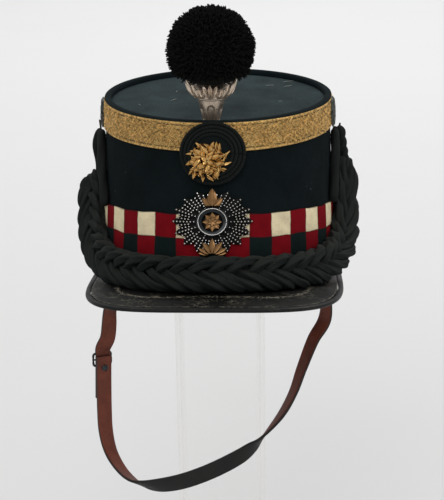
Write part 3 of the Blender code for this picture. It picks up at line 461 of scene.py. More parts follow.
def crazed_leather(name, colour, cracked=1.0, creases=()):
    """Old varnished leather: a worn low gloss, fine crazing and pale dust in the cracks."""
    material, tree = new_material(name)
    place = add(tree, "TexCoord", out="Object")
    drift = add(tree, "TexNoise", {"Vector": place, "Scale": 1 / 0.006, "Detail": 3.0}, "Color")
    bent = add(tree, "Mix", {0: 0.004, 4: place, 5: drift}, 1, data_type="VECTOR")
    cells = add(tree, "TexVoronoi", {
        "Vector": bent, "Scale": 1 / 0.0042}, "Distance", feature="DISTANCE_TO_EDGE")
    crack = add(tree, "MapRange", (cells, 0.0, 0.055, 1.0, 0.0))
    patch = add(tree, "TexNoise", {
        "Vector": place, "Scale": 1 / 0.016, "Detail": 3.0, "Roughness": 0.65})
    where = add(tree, "MapRange", (patch, 0.5, 0.62, 0.0, cracked))
    inset = add(tree, "SeparateXYZ", (add(tree, "TexCoord", out="UV"),), 1)
    flecks = add(tree, "TexNoise", {"Vector": place, "Scale": 1 / 0.003, "Detail": 3.0})
    if creases:
        near = add(tree, "Math", (inset, creases[0], 0.0022), operation="COMPARE")
        where = add(tree, "Math", (where, near), operation="MAXIMUM")
    crack = add(tree, "Math", (crack, where), operation="MULTIPLY")
    for crease, start, half in zip(creases, (0.4, 0.42), (0.0007, 0.0003)):
        line = add(tree, "Math", (inset, crease, half), operation="COMPARE")
        share = add(tree, "MapRange", (flecks, start, start + 0.3, 0.0, 0.9))
        line = add(tree, "Math", (line, share), operation="MULTIPLY")
        crack = add(tree, "Math", (crack, line), operation="MAXIMUM")
    grain = add(tree, "TexNoise", {
        "Vector": place, "Scale": 1 / 0.0011, "Detail": 4.0, "Roughness": 0.7})
    wear = add(tree, "TexNoise", {
        "Vector": place, "Scale": 1 / 0.022, "Detail": 5.0, "Roughness": 0.65})
    tone = add(tree, "MapRange", (wear, 0.3, 0.7))
    base = add(tree, "Mix", {0: tone, 6: rgba(colour, 0.55), 7: rgba(colour, 1.5)}, **BLEND)
    base = add(tree, "Mix", {0: crack, 6: base, 7: rgba(linear("#8b8674"))}, **BLEND)
    rough = add(tree, "MapRange", (wear, 0.3, 0.7, 0.34, 0.6))
    sunk = add(tree, "Math", (grain, crack), operation="SUBTRACT")
    bump = add(tree, "Bump", {"Height": sunk, "Strength": 0.35, "Distance": 0.0005})
    return finish_material(material, {
        "Base Color": base, "Roughness": rough, "Normal": bump, "Specular IOR Level": 0.22})


def two_faced_leather(name, colours):
    """Curried strap leather: brown and dull inside, black, dusty and waxed outside."""
    material, tree = new_material(name)
    inner = add(tree, "SeparateXYZ", (add(tree, "TexCoord", out="UV"),), 1)
    place = add(tree, "TexCoord", out="Object")
    fibre = add(tree, "TexNoise", {
        "Vector": place, "Scale": 1 / 0.0009, "Detail": 4.0, "Roughness": 0.75})
    rub = add(tree, "TexNoise", {
        "Vector": place, "Scale": 1 / 0.014, "Detail": 4.0, "Roughness": 0.6})
    tone = add(tree, "Math", (rub, fibre), operation="ADD")
    tone = add(tree, "MapRange", (tone, 0.7, 1.3))
    brown = add(tree, "Mix", {
        0: tone,
        6: rgba(colours.brown_leather, 0.55), 7: rgba(colours.brown_leather, 1.5)}, **BLEND)
    black = add(tree, "Mix", {
        0: tone,
        6: rgba(colours.black_leather, 0.8), 7: rgba(colours.black_leather, 2.2)}, **BLEND)
    base = add(tree, "Mix", {0: inner, 6: black, 7: brown}, **BLEND)
    rough = add(tree, "MapRange", (rub, 0.3, 0.7, 0.45, 0.7))
    bump = add(tree, "Bump", {"Height": fibre, "Strength": 0.3, "Distance": 0.0004})
    return finish_material(material, {
        "Base Color": base, "Roughness": rough, "Normal": bump, "Specular IOR Level": 0.25})


def worsted_cord(name, colour, dust=0.25):
    """Laid worsted cord: fine yarns along it, matt, with dust on the sides that look up."""
    material, tree = new_material(name)
    uv = add(tree, "TexCoord", out="UV")
    slope = add(tree, "Mapping", {"Vector": uv, "Rotation": (0.0, 0.0, 1.15)})
    yarn = add(tree, "TexWave", {
        "Vector": slope,
        "Scale": 1 / 0.0034, "Distortion": 0.6, "Detail": 1.0}, "Fac", bands_direction="X")
    place = add(tree, "TexCoord", out="Object")
    fuzz = add(tree, "TexNoise", {
        "Vector": place, "Scale": 1 / 0.0007, "Detail": 3.0, "Roughness": 0.8})
    patch = add(tree, "TexNoise", {"Vector": place, "Scale": 1 / 0.011, "Detail": 3.0})
    up = add(tree, "SeparateXYZ", (add(tree, "NewGeometry", out="Normal"),), 2)
    settled = add(tree, "MapRange", (up, 0.1, 1.0, 0.15))
    thick = add(tree, "MapRange", (patch, 0.4, 0.75, 0.1, dust))
    grey = add(tree, "Math", (settled, thick), operation="MULTIPLY")
    tone = add(tree, "Math", (yarn, fuzz), operation="ADD")
    tone = add(tree, "MapRange", (tone, 0.4, 1.4))
    base = add(tree, "Mix", {0: tone, 6: rgba(colour, 0.55), 7: rgba(colour, 1.5)}, **BLEND)
    base = add(tree, "Mix", {0: grey, 6: base, 7: rgba(linear("#5b5a50"))}, **BLEND)
    relief = add(tree, "Math", (yarn, fuzz), operation="MULTIPLY")
    bump = add(tree, "Bump", {"Height": relief, "Strength": 0.6, "Distance": 0.0006})
    return finish_material(material, {
        "Base Color": base, "Roughness": 0.85, "Normal": bump, "Specular IOR Level": 0.15})


def cut_wool(name, colour):
    """Cut worsted ends: the deepest black here, matt, with no bright edges."""
    material, tree = new_material(name)
    place = add(tree, "TexCoord", out="Object")
    ends = add(tree, "TexNoise", {
        "Vector": place, "Scale": 1 / 0.0015, "Detail": 2.0, "Roughness": 0.7})
    base = add(tree, "Mix", {0: ends, 6: rgba(colour, 0.5), 7: rgba(colour, 1.6)}, **BLEND)
    return finish_material(material, {
        "Base Color": base, "Roughness": 1.0, "Specular IOR Level": 0.05})


def worn_metal(name, colour, rough, shade_and_tarnish, metallic=1.0, pit=0.0012):
    """Stamped metal, once polished: bright high spots, painted shade that darkens and dulls the
    hollows, and patches dulled by tarnish.
    """
    material, tree = new_material(name)
    place = add(tree, "TexCoord", out="Object")
    tarnish = add(tree, "TexNoise", {
        "Vector": place, "Scale": 1 / 0.0035, "Detail": 4.0, "Roughness": 0.7})
    pits = add(tree, "TexNoise", {"Vector": place, "Scale": 1 / pit, "Detail": 3.0})
    # painted shade: where ambient occlusion finds hollows, the base colour is darkened
    hollow = add(tree, "AmbientOcclusion", {"Distance": 0.0016}, "AO", samples=8)
    painted_hollow_shade = add(tree, "MapRange", (hollow, 0.35, 0.95, shade_and_tarnish, 0.0))
    dull = add(tree, "MapRange", (tarnish, 0.45, 0.75, 0.0, shade_and_tarnish * 0.5))
    tarnish_and_hollow_shade = add(tree, "Math", (painted_hollow_shade, dull), operation="MAXIMUM")
    # the base colour darkens with the painted hollow shade and with the real tarnish patches
    base = add(tree, "Mix", {0: tarnish_and_hollow_shade, 6: rgba(colour), 7: rgba(colour, 0.16)}, **BLEND)
    gloss = add(tree, "MapRange", (tarnish_and_hollow_shade, 0.0, 1.0, rough, min(1.0, rough + 0.35)))
    bump = add(tree, "Bump", {"Height": pits, "Strength": 0.15, "Distance": 0.0003})
    return finish_material(material, {
        "Base Color": base, "Metallic": metallic, "Roughness": gloss, "Normal": bump})


def clear_acrylic(name):
    """Extruded acrylic: clear, with a polished sheen and a painted reflection along its edges, a warm
    film that grows opaque where faces turn edge-on.
    """
    material, tree = new_material(name)
    edge = add(tree, "LayerWeight", {"Blend": 0.5}, "Facing")
    # painted reflection: the warm white film grows from nearly clear to more opaque as faces turn
    # edge-on
    body = add(tree, "MapRange", (edge, 0.5, 1.0, 0.018, 0.22))
    return finish_material(material, {
        "Base Color": rgba(linear("#fdf8f0")), "Roughness": 0.08, "Alpha": body})


def plain_paint(name, colour):
    """Matt pale paint with a barely visible mottling."""
    material, tree = new_material(name)
    place = add(tree, "TexCoord", out="Object")
    mottle = add(tree, "TexNoise", {"Vector": place, "Scale": 3.0, "Detail": 3.0})
    base = add(tree, "Mix", {0: mottle, 6: rgba(colour, 0.985), 7: rgba(colour, 1.015)}, **BLEND)
    return finish_material(material, {
        "Base Color": base, "Roughness": 0.9, "Specular IOR Level": 0.1})


def clean_mesh(mesh, angle=40.0):
    """Close a mesh's seams and poles, turn its faces outwards and smooth it."""
    work = bmesh.new()
    work.from_mesh(mesh)
    bmesh.ops.remove_doubles(work, verts=work.verts, dist=0.000002)
    bmesh.ops.dissolve_degenerate(work, edges=work.edges, dist=0.000001)
    open_edges = [edge for edge in work.edges if edge.is_boundary]
    if open_edges:
        bmesh.ops.holes_fill(work, edges=open_edges, sides=0)
    bmesh.ops.recalc_face_normals(work, faces=work.faces)
    work.to_mesh(mesh)
    work.free()
    mesh.shade_smooth()
    mesh.set_sharp_from_angle(angle=math.radians(angle))
    return mesh


def skin(name, grid, uv=None, angle=40.0):
    """A closed mesh over rows of points, whose seams repeat their first points."""
    grid = np.asarray(grid, float)
    rows, columns = grid.shape[:2]
    corner = np.arange(rows * columns).reshape(rows, columns)
    quads = np.stack(
        (corner[:-1, :-1], corner[:-1, 1:], corner[1:, 1:], corner[1:, :-1]), -1).reshape(-1, 4)
    mesh = bpy.data.meshes.new(name)
    mesh.from_pydata(grid.reshape(-1, 3).tolist(), [], quads.tolist())
    layer = mesh.uv_layers.new(name="UVMap")
    if uv is not None:
        flat = np.asarray(uv, np.float32).reshape(-1, 2)[quads.ravel()]
        layer.uv.foreach_set("vector", flat.ravel())
    return clean_mesh(mesh, angle)


def join_meshes(name, meshes):
    """One mesh from several, with their UV maps."""
    work = bmesh.new()
    for mesh in meshes:
        work.from_mesh(mesh)
    joined = bpy.data.meshes.new(name)
    work.to_mesh(joined)
    work.free()
    joined.shade_smooth()
    joined.set_sharp_from_angle(angle=math.radians(40.0))
    return joined


def new_object(name, data):
    """An object of the scene with its data."""
    item = bpy.data.objects.new(name, data)
    bpy.context.scene.collection.objects.link(item)
    return item


def dress(mesh, material, slot, *nodes):
    """Put a mesh in the scene as a piece of its name that stands for some CAD nodes."""
    piece = new_object(mesh.name, mesh)
    mesh.materials.clear()
    mesh.materials.append(material)
    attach(piece, "root")
    if nodes:
        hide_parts(*nodes)
    return piece


def node_group(name, inputs):
    """A Geometry Nodes tree with named inputs, its input node and its output node."""
    tree = bpy.data.node_groups.new(name, "GeometryNodeTree")
    tree.interface.new_socket("Geometry", in_out="INPUT", socket_type="NodeSocketGeometry")
    tree.interface.new_socket("Geometry", in_out="OUTPUT", socket_type="NodeSocketGeometry")
    for label, kind in inputs:
        tree.interface.new_socket(label, in_out="INPUT", socket_type=f"NodeSocket{kind}")
    return tree, tree.nodes.new("NodeGroupInput").outputs


def close_tree(tree, geometry, material):
    """End a tree in realized geometry with its material."""
    whole = add(tree, "GeometryNodeRealizeInstances", (geometry,))
    coated = add(tree, "GeometryNodeSetMaterial", {"Geometry": whole, "Material": material})
    result = tree.nodes.new("NodeGroupOutput")
    tree.links.new(coated, result.inputs[0])
    return tree


def cord_tree():
    """Sweep a laid cord along every edge line, as thick as its points say."""
    tree, given = node_group("laid_cord", (("Sides", "Int"), (
        "Plies", "Int"), ("Groove", "Float"), ("Lay", "Float"), ("Material", "Material")))
    curve = add(tree, "GeometryNodeMeshToCurve", (given["Geometry"],))
    thick = add(tree, "GeometryNodeInputNamedAttribute", {"Name": "thickness"})
    along = add(tree, "GeometryNodeSplineParameter", out="Length")
    catch = tree.nodes.new("GeometryNodeCaptureAttribute")
    catch.capture_items.new("FLOAT", "along")
    catch.capture_items.new("FLOAT", "thick")
    tree.links.new(curve, catch.inputs[0])
    tree.links.new(along, catch.inputs[1])
    tree.links.new(thick, catch.inputs[2])
    turns = add(tree, "Math", (catch.outputs[1], given["Lay"]), operation="DIVIDE")
    tilt = add(tree, "Math", (turns, FULL_TURN), operation="MULTIPLY")
    curve = add(tree, "GeometryNodeSetCurveTilt", {"Curve": catch.outputs[0], "Tilt": tilt})
    section = add(tree, "GeometryNodeCurveArc", {
        "Resolution": given["Sides"], "Radius": 1.0, "Start Angle": 0.0, "Sweep Angle": FULL_TURN})
    around = add(tree, "GeometryNodeSplineParameter")
    ring = tree.nodes.new("GeometryNodeCaptureAttribute")
    ring.capture_items.new("FLOAT", "around")
    tree.links.new(section, ring.inputs[0])
    tree.links.new(around, ring.inputs[1])
    angle = add(tree, "Math", (around, FULL_TURN), operation="MULTIPLY")
    lobes = add(tree, "Math", (angle, given["Plies"]), operation="MULTIPLY")
    wave = add(tree, "Math", (lobes,), operation="COSINE")
    sunk = add(tree, "Math", (wave, given["Groove"]), operation="MULTIPLY")
    spot = add(tree, "GeometryNodeInputPosition")
    shift = add(tree, "VectorMath", {0: spot, "Scale": sunk}, operation="SCALE")
    section = add(tree, "GeometryNodeSetPosition", {"Geometry": ring.outputs[0], "Offset": shift})
    swept = add(tree, "GeometryNodeCurveToMesh", {
        "Curve": curve, "Profile Curve": section, "Scale": catch.outputs[2]})
    girth = add(tree, "Math", (ring.outputs[1], catch.outputs[2]), operation="MULTIPLY")
    girth = add(tree, "Math", (girth, FULL_TURN), operation="MULTIPLY")
    uv = add(tree, "CombineXYZ", (catch.outputs[1], girth))
    stored = add(tree, "GeometryNodeStoreNamedAttribute", {
        "Geometry": swept, "Name": "UVMap", "Value": uv}, data_type="FLOAT2", domain="CORNER")
    closed = add(tree, "GeometryNodeMergeByDistance", {"Geometry": stored, "Distance": 0.000004})
    return close_tree(tree, closed, given["Material"])


def setting_tree():
    """Set a copy of one object on every point, turned and sized as the points say."""
    tree, given = node_group("set_in_place", (("Item", "Object"), ("Material", "Material")))
    item = add(tree, "GeometryNodeObjectInfo", {"Object": given["Item"]}, "Geometry")
    reads = [add(tree, "GeometryNodeInputNamedAttribute", {
        "Name": label}, data_type="FLOAT_VECTOR") for label in ("facing", "heading", "size")]
    turned = add(tree, "FunctionNodeAxesToRotation", {
        "Primary Axis": reads[0], "Secondary Axis": reads[1]})
    set_down = add(tree, "GeometryNodeInstanceOnPoints", {
        "Points": given["Geometry"], "Instance": item, "Rotation": turned, "Scale": reads[2]})
    return close_tree(tree, set_down, given["Material"])


def tuft_tree():
    """Grow cut threads over a core, each tilted and sized at random from one seed."""
    tree, given = node_group("cut_tuft", (("Thread", "Object"), ("Density", "Float"), (
        "Lowest", "Float"), ("Tilt", "Float"), ("Seed", "Int"), ("Material", "Material")))
    level = add(tree, "SeparateXYZ", (add(tree, "GeometryNodeInputPosition"),), 2)
    free = add(tree, "Math", (level, given["Lowest"]), operation="GREATER_THAN")
    scatter = add(tree, "GeometryNodeDistributePointsOnFaces", {
        "Mesh": given["Geometry"],
        "Density": given["Density"], "Seed": given["Seed"], "Selection": free}).node
    lean = add(tree, "Math", (given["Tilt"], -1.0), operation="MULTIPLY")
    least = add(tree, "CombineXYZ", (lean, lean))
    most = add(tree, "CombineXYZ", (given["Tilt"], given["Tilt"], FULL_TURN))
    angles = add(tree, "FunctionNodeRandomValue", {
        0: least, 1: most, "Seed": given["Seed"]}, 0, data_type="FLOAT_VECTOR")
    nudge = add(tree, "FunctionNodeEulerToRotation", (angles,))
    turned = add(tree, "FunctionNodeRotateRotation", {
        "Rotation": scatter.outputs["Rotation"], "Rotate By": nudge}, rotation_space="LOCAL")
    size = add(tree, "FunctionNodeRandomValue", {
        2: 0.75, 3: 1.2, "Seed": given["Seed"]}, 1, data_type="FLOAT")
    thread = add(tree, "GeometryNodeObjectInfo", {"Object": given["Thread"]}, "Geometry")
    pile = add(tree, "GeometryNodeInstanceOnPoints", {
        "Points": scatter.outputs["Points"],
        "Instance": thread, "Rotation": turned, "Scale": size})
    both = tree.nodes.new("GeometryNodeJoinGeometry")
    tree.links.new(pile, both.inputs[0])
    tree.links.new(given["Geometry"], both.inputs[0])
    return close_tree(tree, both.outputs[0], given["Material"])


def grow(name, source, tree, inputs):
    """Run a tree on a mesh and keep the result as a plain mesh."""
    carrier = new_object(name, source)
    modifier = carrier.modifiers.new("grown", "NODES")
    modifier.node_group = tree
    for item in tree.interface.items_tree:
        if item.in_out == "INPUT" and item.name in inputs:
            modifier[item.identifier] = inputs[item.name]
    graph = bpy.context.evaluated_depsgraph_get()
    mesh = bpy.data.meshes.new_from_object(
        carrier.evaluated_get(graph), preserve_all_data_layers=True, depsgraph=graph)
    carrier.modifiers.remove(modifier)
    bpy.data.objects.remove(carrier)
    mesh.name = name
    mesh.shade_smooth()
    return mesh


def edge_lines(name, paths, closed=False):
    """Edge lines for the cord tree, each a row of points and the cord's radius there."""
    mesh = bpy.data.meshes.new(name)
    points, edges, radii = [], [], []
    for path, radius in paths:
        first = len(points)
        count = len(path)
        points.extend(np.asarray(path).tolist())
        radii.extend(np.broadcast_to(radius, count).tolist())
        edges.extend((first + step, first + step + 1) for step in range(count - 1))
        if closed:
            edges.append((first + count - 1, first))
    mesh.from_pydata(points, edges, [])
    thickness = mesh.attributes.new("thickness", "FLOAT", "POINT")
    thickness.data.foreach_set("value", radii)
    return mesh


def lay_cords(name, paths, material, sides=12, plies=3, groove=0.06, lay=0.012, closed=False):
    """Cords of some radius along paths of points."""
    inputs = {
        "Sides": sides + 1, "Plies": plies, "Groove": groove, "Lay": lay, "Material": material}
    source = edge_lines(name + "_lines", paths, closed)
    mesh = grow(name, source, bpy.data.node_groups["laid_cord"], inputs)
    mesh.set_sharp_from_angle(angle=math.radians(60.0))
    return mesh


def set_items(name, item_mesh, places, facings, headings, scales, material):
    """Copies of a small mesh at places, each with its own facing, heading and scale."""
    source = bpy.data.meshes.new(name + "_points")
    places = np.asarray(places, float).reshape(-1, 3)
    source.from_pydata(places.tolist(), [], [])
    scales = np.asarray(scales, float)
    if scales.ndim < 2:
        scales = np.repeat(np.broadcast_to(scales, len(places))[:, None], 3, 1)
    rows = (("facing", facings), ("heading", headings), ("size", scales))
    for label, values in rows:
        layer = source.attributes.new(label, "FLOAT_VECTOR", "POINT")
        spread = np.broadcast_to(values, places.shape).astype(np.float32)
        layer.data.foreach_set("vector", spread.ravel())
    item = new_object(name + "_item", item_mesh)
    inputs = {"Item": item, "Material": material}
    mesh = grow(name, source, bpy.data.node_groups["set_in_place"], inputs)
    bpy.data.objects.remove(item)
    mesh.set_sharp_from_angle(angle=math.radians(40.0))
    return mesh


def rounded_ends(path, radius, steps=4):
    """A path with extra points that round a cord's ends, and its radius at each point."""
    path = np.asarray(path, float)
    bends = np.linspace(0.0, math.pi / 2, steps)[:-1]
    head = path[0] + (path[1] - path[0]) / np.linalg.norm(path[1] - path[0]) * radius
    tail = path[-1] + (path[-2] - path[-1]) / np.linalg.norm(path[-2] - path[-1]) * radius
    front = [head + (path[0] - head) * math.cos(bend) for bend in bends]
    back = [tail + (path[-1] - tail) * math.cos(bend) for bend in bends[::-1]]
    near = np.linalg.norm(path - path[0], axis=1) > radius * 1.02
    far = np.linalg.norm(path - path[-1], axis=1) > radius * 1.02
    inner = path[near & far]
    thick = [radius * math.sin(bend) for bend in bends]
    whole = np.vstack((front, inner, back))
    radii = np.array(thick + [radius] * len(inner) + thick[::-1])
    return whole, radii


def through(rows, step):
    """Rows of numbers along a smooth curve through the given rows, about a step apart."""
    rows = np.asarray(rows, float)
    padded = np.vstack((2 * rows[0] - rows[1], rows, 2 * rows[-1] - rows[-2]))
    fine = []
    share = np.linspace(0.0, 1.0, 24, endpoint=False)[:, None]
    for index in range(1, len(padded) - 2):
        p0, p1, p2, p3 = padded[index - 1:index + 3]
        fine.append(0.5 * (2 * p1 + (p2 - p0) * share + (2 * p0 - 5 * p1 + 4 * p2 - p3)
            * share ** 2 + (3 * p1 - p0 - 3 * p2 + p3) * share ** 3))
    fine = np.vstack(fine + [rows[-1]])
    return evenly(fine, step)


def evenly(fine, step):
    """Rows an equal length apart along a fine polyline, measured on their first three values."""
    spans = np.linalg.norm(np.diff(fine[:, :3], axis=0), axis=1)
    lengths = np.concatenate(((0.0,), np.cumsum(spans)))
    wanted = np.linspace(0.0, lengths[-1], max(2, round(lengths[-1] / step)) + 1)
    return np.stack([np.interp(wanted, lengths, column) for column in fine.T], -1)


def unit(vectors):
    """Vectors made one long."""
    return vectors / np.linalg.norm(vectors, axis=-1, keepdims=True)


def smooth(share):
    """A share from 0 to 1 that starts and ends gently."""
    return share * share * (3 - 2 * share)


def circle(count):
    """Angles of a full turn, the last one the same place as the first."""
    return np.linspace(0.0, FULL_TURN, count + 1)


def ring_turns(count):
    """Turns round the crown, the last one the same place as the first."""
    return np.linspace(-math.pi, math.pi, count + 1)


def medallion(wall, name, centre, outline, profile, angles, rows=None):
    """A relief on the front wall: outline gives (across, up) and profile (share, out)."""
    x, rise = centre
    across, up = outline(angles)
    share, out = np.asarray(profile, float).T
    grid = wall.front(
        x + across[None, :] * share[:, None], rise + up[None, :] * share[:, None],
        np.repeat(out[:, None], len(angles), 1) if rows is None else rows)
    uv = np.stack((across[None, :] * share[:, None], up[None, :] * share[:, None]), -1)
    return skin(name, grid, uv)


def turned(name, profile, axis=(0.0, 0.0)):
    """A body of revolution about an upright axis, from rows of radius and height."""
    angles = circle(96)
    grid = [
        np.stack((axis[0] + radius * np.cos(angles), axis[1] + radius * np.sin(angles),
        np.full(len(angles), height)), -1) for radius, height in profile]
    return skin(name, grid)


def leaf_mesh(name, reach, width, ridge, curl, lobes=0):
    """A pointed leaf along +X, back at z 0, with a midrib and rounded sides."""
    along = np.linspace(0.0, 1.0, 9)
    half = width / 2 * np.sin(math.pi * along ** 0.8) ** 0.75
    half = half * (1.0 + 0.18 * np.sin(along * math.pi * lobes) ** 2) if lobes else half
    lift = curl * along ** 2
    side = np.array((-1.0, -0.55, 0.0, 0.55, 1.0, 0.0, -1.0))
    high = np.array((0.0, 0.75, 0.45, 0.75, 0.0, -0.25, 0.0))
    swell = ridge * np.sin(math.pi * np.clip(along, 0.03, 0.97)) ** 0.6
    grid = np.stack(
        (np.repeat((along * reach)[:, None], len(side), 1),
        half[:, None] * side[None, :], lift[:, None] + swell[:, None] * high[None, :]), -1)
    return skin(name, grid, angle=30.0)


def bead_mesh(name):
    """A cut bead: a low four-sided pyramid with a flat top, one wide, standing on z 0."""
    rings = ((0.0, 0.0), (0.5, 0.0), (0.5, 0.12), (0.2, 0.42), (0.0, 0.42))
    angles = circle(4)
    grid = [[(r * math.cos(a), r * math.sin(a), z) for a in angles] for r, z in rings]
    return skin(name, grid, angle=10.0)


def wire_mesh(name):
    """A bowed bit of wire along X, one long and one thick, lying on z 0."""
    rings = ((-0.5, 0.0), (-0.47, 0.3), (-0.25, 0.5), (0.25, 0.5), (0.47, 0.3), (0.5, 0.0))
    angles = circle(5)
    grid = [
        [(x, r * math.cos(a) + 1.6 * (0.25 - x * x),
        0.25 + r * math.sin(a)) for a in angles] for x, r in rings]
    return skin(name, grid, angle=80.0)


def thread_mesh(name, reach, radius):
    """A short bent thread along +Z with a blunt end."""
    rings = (
        (0.0, 0.0, 0.0), (0.0, 1.0, 0.0), (0.45, 1.0, 0.04), (0.97, 0.8, 0.16), (1.0, 0.0, 0.17))
    angles = circle(3)
    grid = [
        [(r * radius * math.cos(a) + bend * reach,
        r * radius * math.sin(a), high * reach) for a in angles] for high, r, bend in rings]
    return skin(name, grid, angle=80.0)


def settings(context):
    """The sizes, the colours and the wall that every piece is made from."""
    sizes = context.scene.shako_sizes
    return sizes, context.scene.shako_colours, Wall(sizes)


def wall_items(wall, name, item, spots, material):
    """Copies of an item on the wall; spots hold turn, rise, out, angle, length and width."""
    turn, rise, out, angle, long, wide = np.asarray(spots, float).T
    facing, side, up = wall.axes(turn, rise)
    heading = side * np.cos(angle)[:, None] + up * np.sin(angle)[:, None]
    places = wall.at(turn, rise, out)
    return set_items(
        name, item, places, facing, heading, np.stack((long, wide, wide), -1), material)


def front_items(wall, name, item, centre, spots, material):
    """Copies of an item on the front; spots hold across, up, out, angle, length and width."""
    rows = np.array(spots, float)
    rise = centre[1] + rows[:, 1]
    turn = wall.front_turn(centre[0] + rows[:, 0], rise)
    return wall_items(wall, name, item, np.column_stack((turn, rise, rows[:, 2:])), material)


class SHAKO_OT_stage(bpy.types.Operator):
    """Place the camera, the pale floor and the soft studio light"""

    bl_idname = "shako.stage"
    bl_label = "Stage"

    CAMERA_PLACE = (0.04399, -0.98473)
    CAMERA_ABOVE_BASE = 0.34154
    CAMERA_YAW = math.radians(2.43)
    CAMERA_PITCH = math.radians(18.46)
    CAMERA_ROLL = math.radians(0.76)
    CAMERA_LENS = 108.1
    FLOOR_REACH = 6.0
    SKY_STRENGTH = 0.53
    LIGHTS = (
        # name, place, aim, width, watts
        ("overhead_softbox", (0.2, 2.4, 2.8), (0.15, 2.3, 0.0), 3.2, 74.0),
        ("front_softbox", (-0.5, -1.6, 1.9), (0.0, 0.0, 0.25), 1.5, 12.0),
        ("right_softbox", (1.8, -0.5, 1.1), (0.0, 0.0, 0.28), 0.9, 6.0),
    )

    def execute(self, context):
        colours, wall = settings(context)[1:]
        place = Vector((*self.CAMERA_PLACE, wall.height + self.CAMERA_ABOVE_BASE))
        yaw, pitch, roll = self.CAMERA_YAW, self.CAMERA_PITCH, self.CAMERA_ROLL
        ahead = Vector(
            (-math.sin(yaw) * math.cos(pitch), math.cos(yaw) * math.cos(pitch), -math.sin(pitch)))
        level_right = Vector((math.cos(yaw), math.sin(yaw), 0.0))
        level_up = level_right.cross(ahead)
        right = level_right * math.cos(roll) - level_up * math.sin(roll)
        up = level_right * math.sin(roll) + level_up * math.cos(roll)
        lens = bpy.data.cameras.new("photo_camera")
        lens.lens = self.CAMERA_LENS
        lens.clip_start = 0.02
        camera = new_object("photo_camera", lens)
        camera.matrix_world = Matrix(
            ((right.x, up.x, -ahead.x, place.x), (right.y, up.y, -ahead.y, place.y),
            (right.z, up.z, -ahead.z, place.z), (0.0, 0.0, 0.0, 1.0)))
        context.scene.camera = camera
        context.scene.view_settings.view_transform = "Standard"

        reach = self.FLOOR_REACH
        mesh = bpy.data.meshes.new("pale_floor")
        corners = ((-reach, -reach, 0), (reach, -reach, 0), (reach, reach, 0), (-reach, reach, 0))
        mesh.from_pydata(corners, [], [(0, 1, 2, 3)])
        mesh.materials.append(plain_paint("matt_floor_paint", colours.floor))
        floor = new_object("pale_floor", mesh)

        world = bpy.data.worlds.new("studio")
        world.use_nodes = True
        sky = world.node_tree.nodes["Background"]
        sky.inputs["Color"].default_value = (1.0, 1.0, 1.0, 1.0)
        sky.inputs["Strength"].default_value = self.SKY_STRENGTH
        context.scene.world = world
        for name, place, aim, size, power in self.LIGHTS:
            lamp = bpy.data.lights.new(name, "AREA")
            lamp.size = size
            lamp.energy = power
            light = new_object(name, lamp)
            light.location = place
            light.rotation_euler = (Vector(aim) - Vector(place)).to_track_quat("-Z", "Y").to_euler()
        return {"FINISHED"}


class SHAKO_OT_stand(bpy.types.Operator):
    """Make the clear disc and tube that hold the hat"""

    bl_idname = "shako.stand"
    bl_label = "Clear stand"

    def execute(self, context):
        sizes = context.scene.shako_sizes
        acrylic = clear_acrylic("clear_extruded_acrylic")
        low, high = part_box("stand_base")
        radius, edge = high.x, 0.0012
        profile = ((0.0, low.z), (radius - edge, low.z), (radius, low.z + edge),
            (radius, high.z - edge), (radius - edge, high.z), (0.0, high.z))
        dress(turned("clear_foot", profile), acrylic, "stand", "stand_base")
        low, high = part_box("stand_tube")
        outer, inner, edge = sizes.tube_radius, sizes.tube_radius - sizes.tube_wall, 0.0004
        profile = ((inner, low.z + edge), (inner + edge, low.z), (outer - edge, low.z),
            (outer, low.z + edge), (outer, high.z - edge), (outer - edge, high.z),
            (inner + edge, high.z), (inner, high.z - edge), (inner, low.z + edge))
        dress(turned("clear_tube", profile), acrylic, "stand", "stand_tube")
        return {"FINISHED"}


